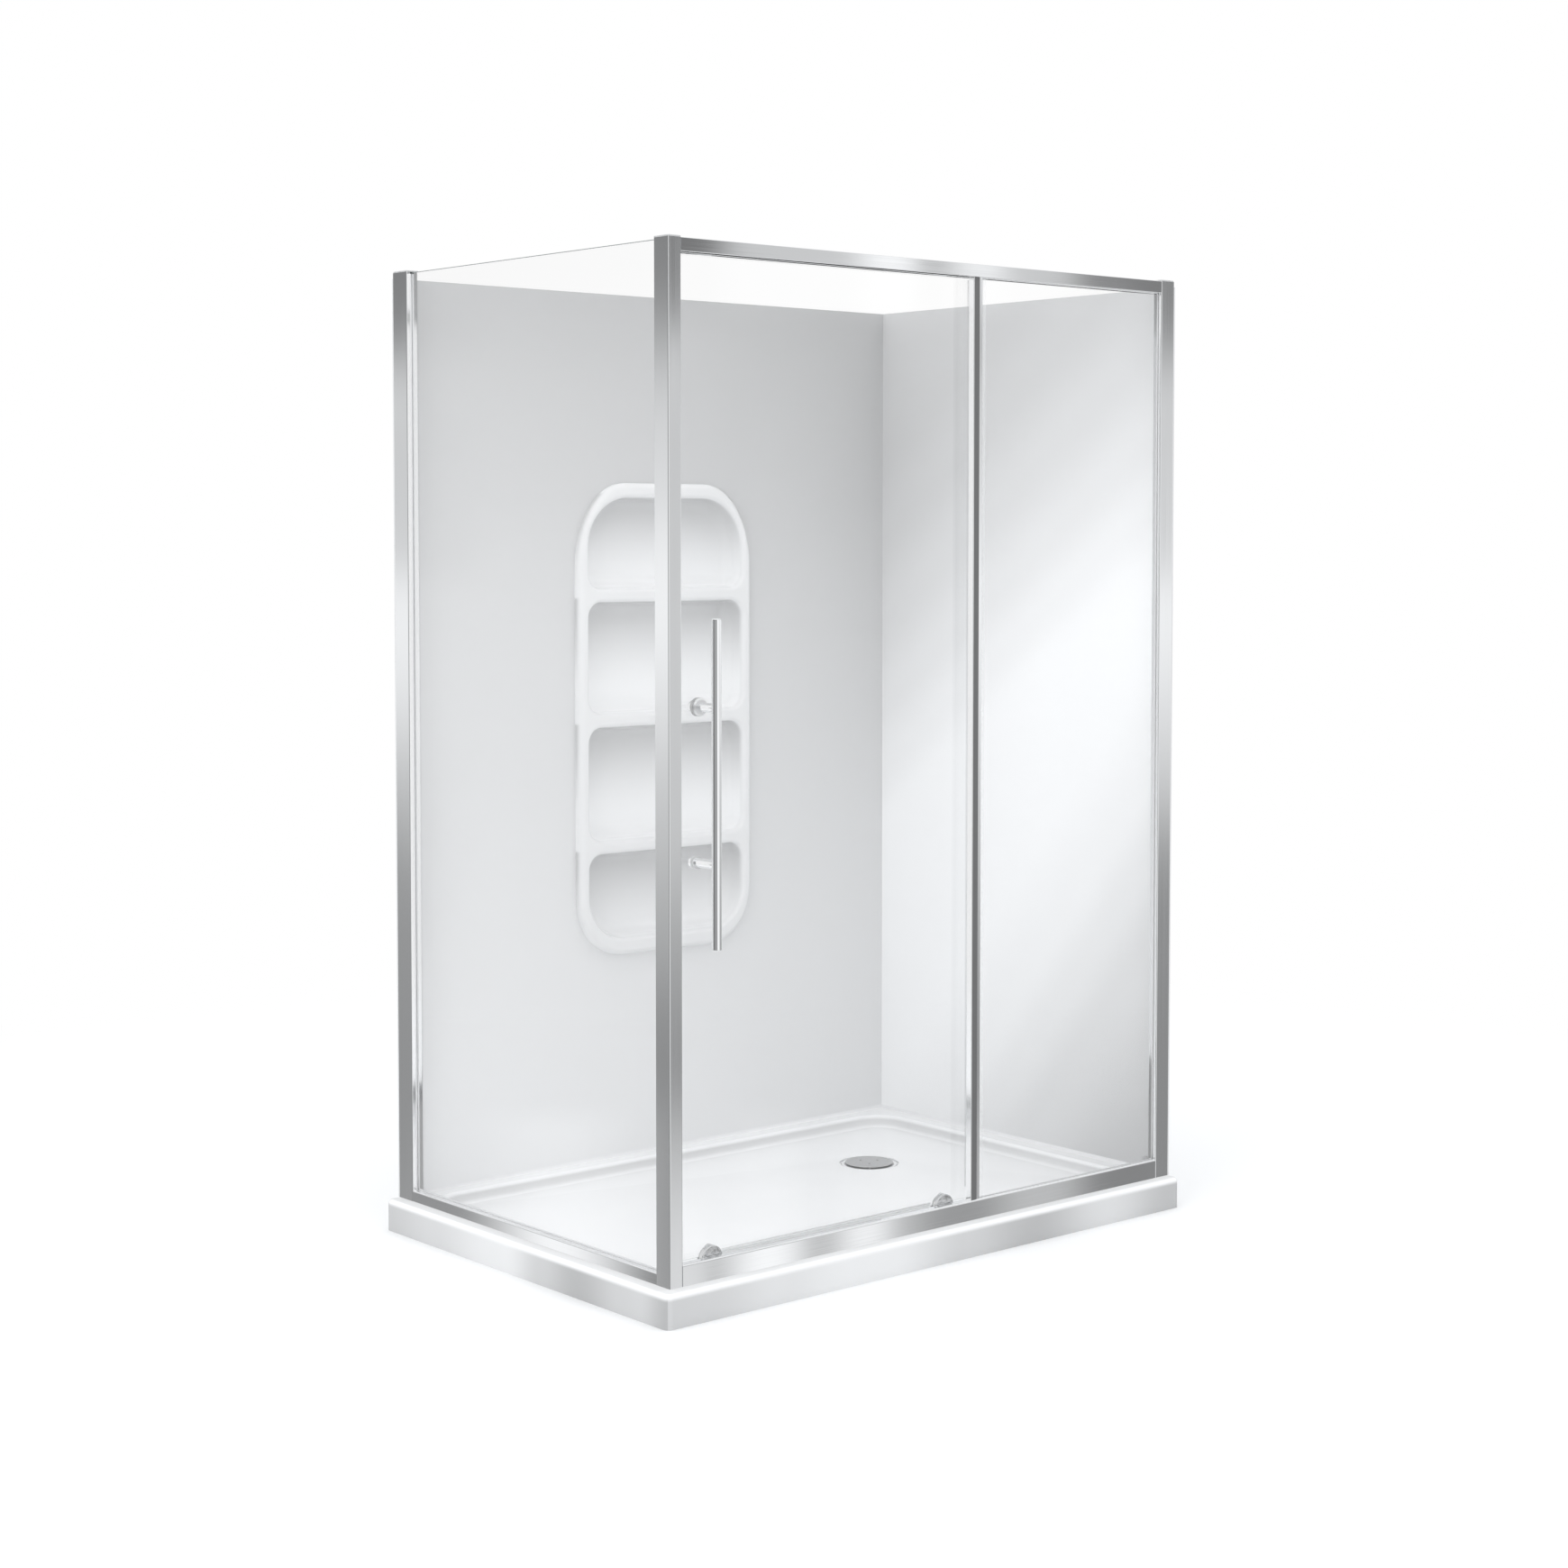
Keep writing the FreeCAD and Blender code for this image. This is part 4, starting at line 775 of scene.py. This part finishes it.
class ShowerStage(bpy.types.PropertyGroup):
    """Camera, lamps and room."""

    eye: bpy.props.FloatVectorProperty(
        name="Eye", description="Where the camera stands", subtype="TRANSLATION", unit="LENGTH",
        default=(-3.671, -4.2743, 1.4429))
    yaw: bpy.props.FloatProperty(
        name="Yaw", description="Direction of view, from +X towards +Y", subtype="ANGLE",
        default=math.radians(49.459))
    pitch: bpy.props.FloatProperty(
        name="Pitch", description="How far the camera looks down", subtype="ANGLE",
        default=math.radians(2.935))
    lens: bpy.props.FloatProperty(
        name="Lens", description="Focal length on a 36 mm wide frame", subtype="DISTANCE_CAMERA",
        default=61.753)
    rise: bpy.props.FloatProperty(name="Shift", description="Vertical shift of the lens", default=-0.07)
    room: bpy.props.FloatProperty(
        name="Room light", description="Level of the even light from all sides", default=0.95, min=0.0)
    top_power: bpy.props.FloatProperty(
        name="Top light", description="Power of the soft box above", default=64.0, unit="POWER")
    side_power: bpy.props.FloatProperty(
        name="Side light", description="Power of the soft box on the left", default=62.0, unit="POWER")
    floor_size: bpy.props.FloatProperty(
        name="Floor", description="Radius of the floor", default=40.0, unit="LENGTH")


# ---------------------------------------------------------------- studio seen by the metal
# Level of the room's walls by elevation in degrees: a bright strip at eye height between
# darker bands, pale floor and pale ceiling.
ROOM_WALL = ((-90, 0.92), (-45, 0.85), (-23, 0.60), (-16, 0.33), (-11, 0.30), (-8.5, 0.44), (-5, 0.68),
             (-2.5, 0.95), (-0.8, 1.0), (0.7, 0.80), (3.2, 0.68), (4.3, 0.42), (5.2, 0.25), (8, 0.24),
             (14, 0.62), (26, 0.95), (90, 1.0))

# Soft boxes and flags: azimuth, half width and softness; elevation, half width and
# softness, in degrees; level.
ROOM_BOXES = {
    "shade behind the camera": (218, 14, 26, -4, 9, 8, 0.36),
    "flag behind the return panel": (168, 12, 16, -4, 9, 8, 0.18),
    "key box beside the door": (-76, 8, 14, -4, 8, 8, 0.95),
    "key strip for the handle": (-98, 12, 5, -5, 10, 8, 1.05),
    "flag low beside the left jamb": (122.2, 0.8, 1.4, -10, 1.5, 5, 0.31),
    "flag high beside the left jamb": (122.6, 0.8, 1.4, 6, 1.3, 1.4, 0.22),
    "dim panel beside the left jamb": (122.6, 0.8, 1.4, 0.8, 1.0, 1.2, 0.63),
    "flag low beside the post": (128.4, 0.7, 0.5, -14, 2.5, 3, 0.26),
    "flag high before the post": (-52.3, 1.0, 0.8, 6.2, 0.9, 0.9, 0.20),
    "panel high before the post": (-52.3, 1.0, 0.8, 3.0, 1.0, 0.6, 0.72),
    "dim panel before the post": (-52.3, 1.6, 1.0, -1.8, 3.8, 2.6, 0.62),
    "ceiling panel over the header": (-47, 3.2, 1.0, 7, 2.0, 0.7, 0.64),
    "header lamp, left": (-47.2, 0.1, 1.0, 7, 2.0, 0.7, 1.07),
    "header flag between its lamps": (-46.3, 0.05, 0.5, 7, 2.0, 0.7, 0.56),
    "header lamp, right": (-45.3, 0.1, 0.8, 7, 2.0, 0.7, 0.96),
    "floor panel before the post": (-52.3, 1.6, 1.2, -17, 1.6, 4.4, 0.78),
    "floor panel before the sill": (-46.9, 4.1, 0.3, -15, 2.4, 0.8, 0.56),
    "flag low before the right jamb": (-41.2, 1.2, 0.7, -11.5, 3.7, 3, 0.27),
    "flag high before the right jamb": (-41.36, 0.5, 0.6, 6, 1.3, 1.4, 0.22),
    "dim panel before the right jamb": (-41.36, 0.5, 0.6, 0.8, 1.0, 1.2, 0.63),
    "sill lamp, left": (-49.8, 0.1, 1.2, -15, 2.4, 0.8, 1.07),
    "sill flag, left": (-48.65, 0.05, 0.5, -15, 2.4, 0.8, 0.56),
    "sill lamp, middle": (-47.7, 0.1, 0.8, -15, 2.4, 0.8, 0.99),
    "sill flag, middle": (-45.65, 0.3, 1.1, -15, 2.4, 0.8, 0.34),
    "sill flag, right": (-42.3, 0.3, 1.0, -15, 2.4, 0.8, 0.25),
    "side lamp": (125.7, 0.1, 2.1, -15, 2.4, 0.8, 1.05),
}


def room_level(tree, direction):
    """Level of the studio in a direction: the walls, then each box or flag over them."""
    x, y, z = parts_of(tree, direction)
    elevation = calc(tree, "DEGREES", calc(tree, "ARCSINE", z))
    azimuth = calc(tree, "DEGREES", calc(tree, "ARCTAN2", y, x))
    colour = levels(tree, elevation, ROOM_WALL)
    for azimuth_at, half, soft, elevation_at, half_up, soft_up, level in ROOM_BOXES.values():
        off = calc(tree, "WRAP", calc(tree, "SUBTRACT", azimuth, azimuth_at), 180.0, -180.0)
        across = band(tree, off, 0.0, half, soft)
        upward = band(tree, elevation, elevation_at, half_up, soft_up)
        colour = blend(tree, calc(tree, "MULTIPLY", across, upward), colour, grey(level))
    return colour


def seen_directly(tree):
    """One for what the camera sees itself or through glass, else zero."""
    path = add(tree, "ShaderNodeLightPath").outputs
    return calc(tree, "MAXIMUM", path["Is Camera Ray"], path["Is Transmission Ray"])


def make_world(stage):
    """White to the eye and through glass, even light for matt surfaces, a studio for gloss."""
    world = bpy.data.worlds.new("Studio")
    world.use_nodes = True
    tree = world.node_tree
    tree.nodes.clear()
    mirrored = add(tree, "ShaderNodeLightPath").outputs["Is Glossy Ray"]
    studio = room_level(tree, add(tree, "ShaderNodeTexCoord").outputs["Generated"])
    light = blend(tree, mirrored, grey(stage.room), studio)
    colour = blend(tree, seen_directly(tree), light, (1.0, 1.0, 1.0, 1.0))
    background = add(tree, "ShaderNodeBackground", {"Color": colour, "Strength": 1.0})
    put(tree, add(tree, "ShaderNodeOutputWorld").inputs["Surface"], background.outputs[0])
    return world


def soft_box(name, place, target, size, power):
    lamp = bpy.data.lights.new(name, "AREA")
    lamp.shape = "SQUARE"
    lamp.size = size
    lamp.energy = power
    made = new_object(name, lamp)
    made.location = place
    made.rotation_euler = (Vector(target) - Vector(place)).to_track_quat("-Z", "Y").to_euler()
    made.visible_camera = False
    made.visible_glossy = False
    made.visible_transmission = False
    return made


def make_floor(stage):
    """Pale floor: matt under the object, so that it holds the shadow, and plain white far off."""
    bm = bmesh.new()
    bmesh.ops.create_circle(bm, cap_ends=True, segments=64, radius=stage.floor_size)
    floor = new_object("studio_floor", mesh_of(bm, "studio_floor"))
    floor.visible_glossy = False
    material = bpy.data.materials.new("studio_floor")
    material.use_nodes = True
    tree = material.node_tree
    tree.nodes.clear()
    away = vector_calc(tree, "LENGTH", object_point(tree))["Value"]
    shadow_reach, white_from = 1.6, 3.2
    far = calc(tree, "MULTIPLY", ramp(tree, away, shadow_reach, white_from), seen_directly(tree))
    matt = add(tree, "ShaderNodeBsdfDiffuse", {"Color": grey(0.97)})
    white = add(tree, "ShaderNodeEmission", {"Strength": 1.0})
    mix = add(tree, "ShaderNodeMixShader", {0: far, 1: matt.outputs[0], 2: white.outputs[0]})
    put(tree, add(tree, "ShaderNodeOutputMaterial").inputs["Surface"], mix.outputs[0])
    floor.data.materials.append(material)


# ---------------------------------------------------------------- operators
class SHOWER_OT_stage(bpy.types.Operator):
    """Sets the camera, the lamps, the room and the floor"""

    bl_idname = "shower.stage"
    bl_label = "Set the stage"

    def execute(self, context):
        stage = context.scene.shower_stage
        context.scene.view_settings.view_transform = "Standard"
        context.scene.world = make_world(stage)
        make_floor(stage)
        soft_box("top_light", (0.0, -0.4, 4.6), (0.0, 0.0, 0.0), 5.0, stage.top_power)
        soft_box("left_light", (-6.0, -1.6, 2.4), (0.6, 0.1, 1.0), 4.0, stage.side_power)
        lens = bpy.data.cameras.new("camera")
        lens.sensor_width = 36.0
        lens.lens = stage.lens
        lens.shift_y = stage.rise
        camera = new_object("camera", lens)
        camera.location = stage.eye
        level = math.cos(stage.pitch)
        ahead = Vector((level * math.cos(stage.yaw), level * math.sin(stage.yaw), -math.sin(stage.pitch)))
        camera.rotation_euler = ahead.to_track_quat("-Z", "Y").to_euler()
        context.scene.camera = camera
        return {"FINISHED"}


class SHOWER_OT_finishes(bpy.types.Operator):
    """Gives every piece of the frame its finish"""

    bl_idname = "shower.finishes"
    bl_label = "Finish the frame"

    def execute(self, context):
        MATERIALS.update(finishes(context.scene.shower_look))
        for name, node in NODES.items():
            slots = node.data.materials
            material = MATERIALS[finish_key(name)]
            if len(slots) == 0:
                slots.append(material)
            for k in range(len(slots)):
                slots[k] = material
        for name in NOT_MIRRORED:
            NODES[name].visible_glossy = False
        return {"FINISHED"}


class SHOWER_OT_glass(bpy.types.Operator):
    """Builds the three panes with arrissed, polished edges"""

    bl_idname = "shower.glass"
    bl_label = "Glaze the panels"

    def execute(self, context):
        look = context.scene.shower_look
        for node in ("return_glass", "fixed_glass", "door_glass"):
            low, high = (Vector(c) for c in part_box(node))
            thin = min(range(3), key=lambda k: high[k] - low[k])
            bm = bmesh.new()
            bm.from_mesh(NODES[node].data)
            bmesh.ops.remove_doubles(bm, verts=bm.verts, dist=0.01 * MM)
            bmesh.ops.dissolve_limit(bm, angle_limit=math.radians(2), verts=bm.verts, edges=bm.edges)
            made = new_object(node + "_pane", mesh_of(bm, node + "_pane"))
            made.data.materials.clear()
            arris = made.modifiers.new("Arris", "BEVEL")
            arris.width = look.arris
            arris.limit_method = "ANGLE"
            arris.angle_limit = math.radians(40)
            pane = baked(made, node + "_pane")
            pane.data.materials.clear()
            pane.data.materials.append(MATERIALS["glass"])
            edge = "glass_edge_bare" if node == "return_glass" else "glass_edge"
            pane.data.materials.append(MATERIALS[edge])
            for face in pane.data.polygons:
                face.material_index = 0 if abs(face.normal[thin]) > 0.99 else 1
            settle(pane, node)
        return {"FINISHED"}


class SHOWER_OT_brush(bpy.types.Operator):
    """Builds the brush seal on the upright: a backing strip and its bristles"""

    bl_idname = "shower.brush"
    bl_label = "Set the brush seal"

    def execute(self, context):
        look = context.scene.shower_look
        low, high = (Vector(c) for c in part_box("stile_brush_seal"))
        middle = (low.x + high.x) / 2
        backing, rounding, half_gap, rooted = 2.2 * MM, 0.3 * MM, 0.45 * MM, 0.6 * MM
        bm = bmesh.new()
        faces = block(bm, low, (high.x, low.y + backing, high.z))
        edges = list({edge for face in faces for edge in face.edges})
        bmesh.ops.bevel(bm, geom=edges, offset=rounding, segments=2, affect="EDGES")
        strip = new_object("brush_strip", mesh_of(bm, "brush_strip"))
        strip.data.materials.append(MATERIALS["gasket_grey"])
        length = high.y - low.y - backing
        rows = []
        for k, offset in enumerate((-half_gap, half_gap)):
            unit = bmesh.new()
            bmesh.ops.create_cone(unit, segments=4, radius1=look.bristle_radius,
                                  radius2=look.bristle_radius * 0.6, depth=length + rooted)
            for vert in unit.verts:
                vert.co = Vector((vert.co.x, vert.co.z + (length - rooted) / 2, vert.co.y))
            bmesh.ops.recalc_face_normals(unit, faces=unit.faces)
            first = Vector((middle + offset, low.y + backing, low.z + look.bristle_pitch * (0.5 + 0.5 * k)))
            count = int((high.z - first.z) / look.bristle_pitch)
            rows.append(row_of(mesh_of(unit, "bristle", smooth=True), f"bristles_{k}", MATERIALS["bristle"],
                               count, first, (0.0, 0.0, look.bristle_pitch), lean=0.03, seed=11 + k))
        settle(joined("stile_brush", strip, *rows), "stile_brush_seal")
        return {"FINISHED"}


class SHOWER_OT_screws(bpy.types.Operator):
    """Sets the cross-headed screws that hold the jambs to their wall channels"""

    bl_idname = "shower.screws"
    bl_label = "Set the jamb screws"

    def execute(self, context):
        look = context.scene.shower_look
        low, high = (Vector(c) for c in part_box("jamb_screws"))
        left_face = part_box("jamb_left")[1][0]
        right_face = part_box("jamb_right")[1][1]
        head = look.screw_head_radius
        rise = (high.z - low.z - 2 * head) / 2
        spots = (
            ((left_face, high.y - head, low.z + head), (0.0, 0.0, 0.0)),
            ((high.x - head, right_face, low.z + head), (0.0, 0.0, math.pi / 2)),
        )
        rows = []
        for k, (first, turn) in enumerate(spots):
            rows.append(row_of(screw_mesh(look), f"screws_{k}", MATERIALS["steel"], 3, first,
                               (0.0, 0.0, rise), turn))
        settle(joined("jamb_screw_set", *rows), "jamb_screws")
        return {"FINISHED"}


class SHOWER_PT_panel(bpy.types.Panel):
    """Lists the steps and the values that they use"""

    bl_idname = "SHOWER_PT_panel"
    bl_label = "Shower Enclosure"
    bl_space_type = "VIEW_3D"
    bl_region_type = "UI"
    bl_category = "Shower"

    def draw(self, context):
        for step in STEPS:
            self.layout.operator(step.bl_idname)
        for group in (context.scene.shower_look, context.scene.shower_stage):
            column = self.layout.column(align=True)
            for name in group.__annotations__:
                column.prop(group, name)


STEPS = (SHOWER_OT_stage, SHOWER_OT_finishes, SHOWER_OT_glass, SHOWER_OT_brush, SHOWER_OT_screws)
CLASSES = (ShowerLook, ShowerStage, *STEPS, SHOWER_PT_panel)


def register():
    for cls in CLASSES:
        bpy.utils.register_class(cls)
    bpy.types.Scene.shower_look = bpy.props.PointerProperty(type=ShowerLook)
    bpy.types.Scene.shower_stage = bpy.props.PointerProperty(type=ShowerStage)


def unregister():
    del bpy.types.Scene.shower_stage
    del bpy.types.Scene.shower_look
    for cls in reversed(CLASSES):
        bpy.utils.unregister_class(cls)


def main():
    register()
    bpy.ops.shower.stage()
    bpy.ops.shower.finishes()
    bpy.ops.shower.glass()
    bpy.ops.shower.brush()
    bpy.ops.shower.screws()


if __name__ == "__main__":
    main()
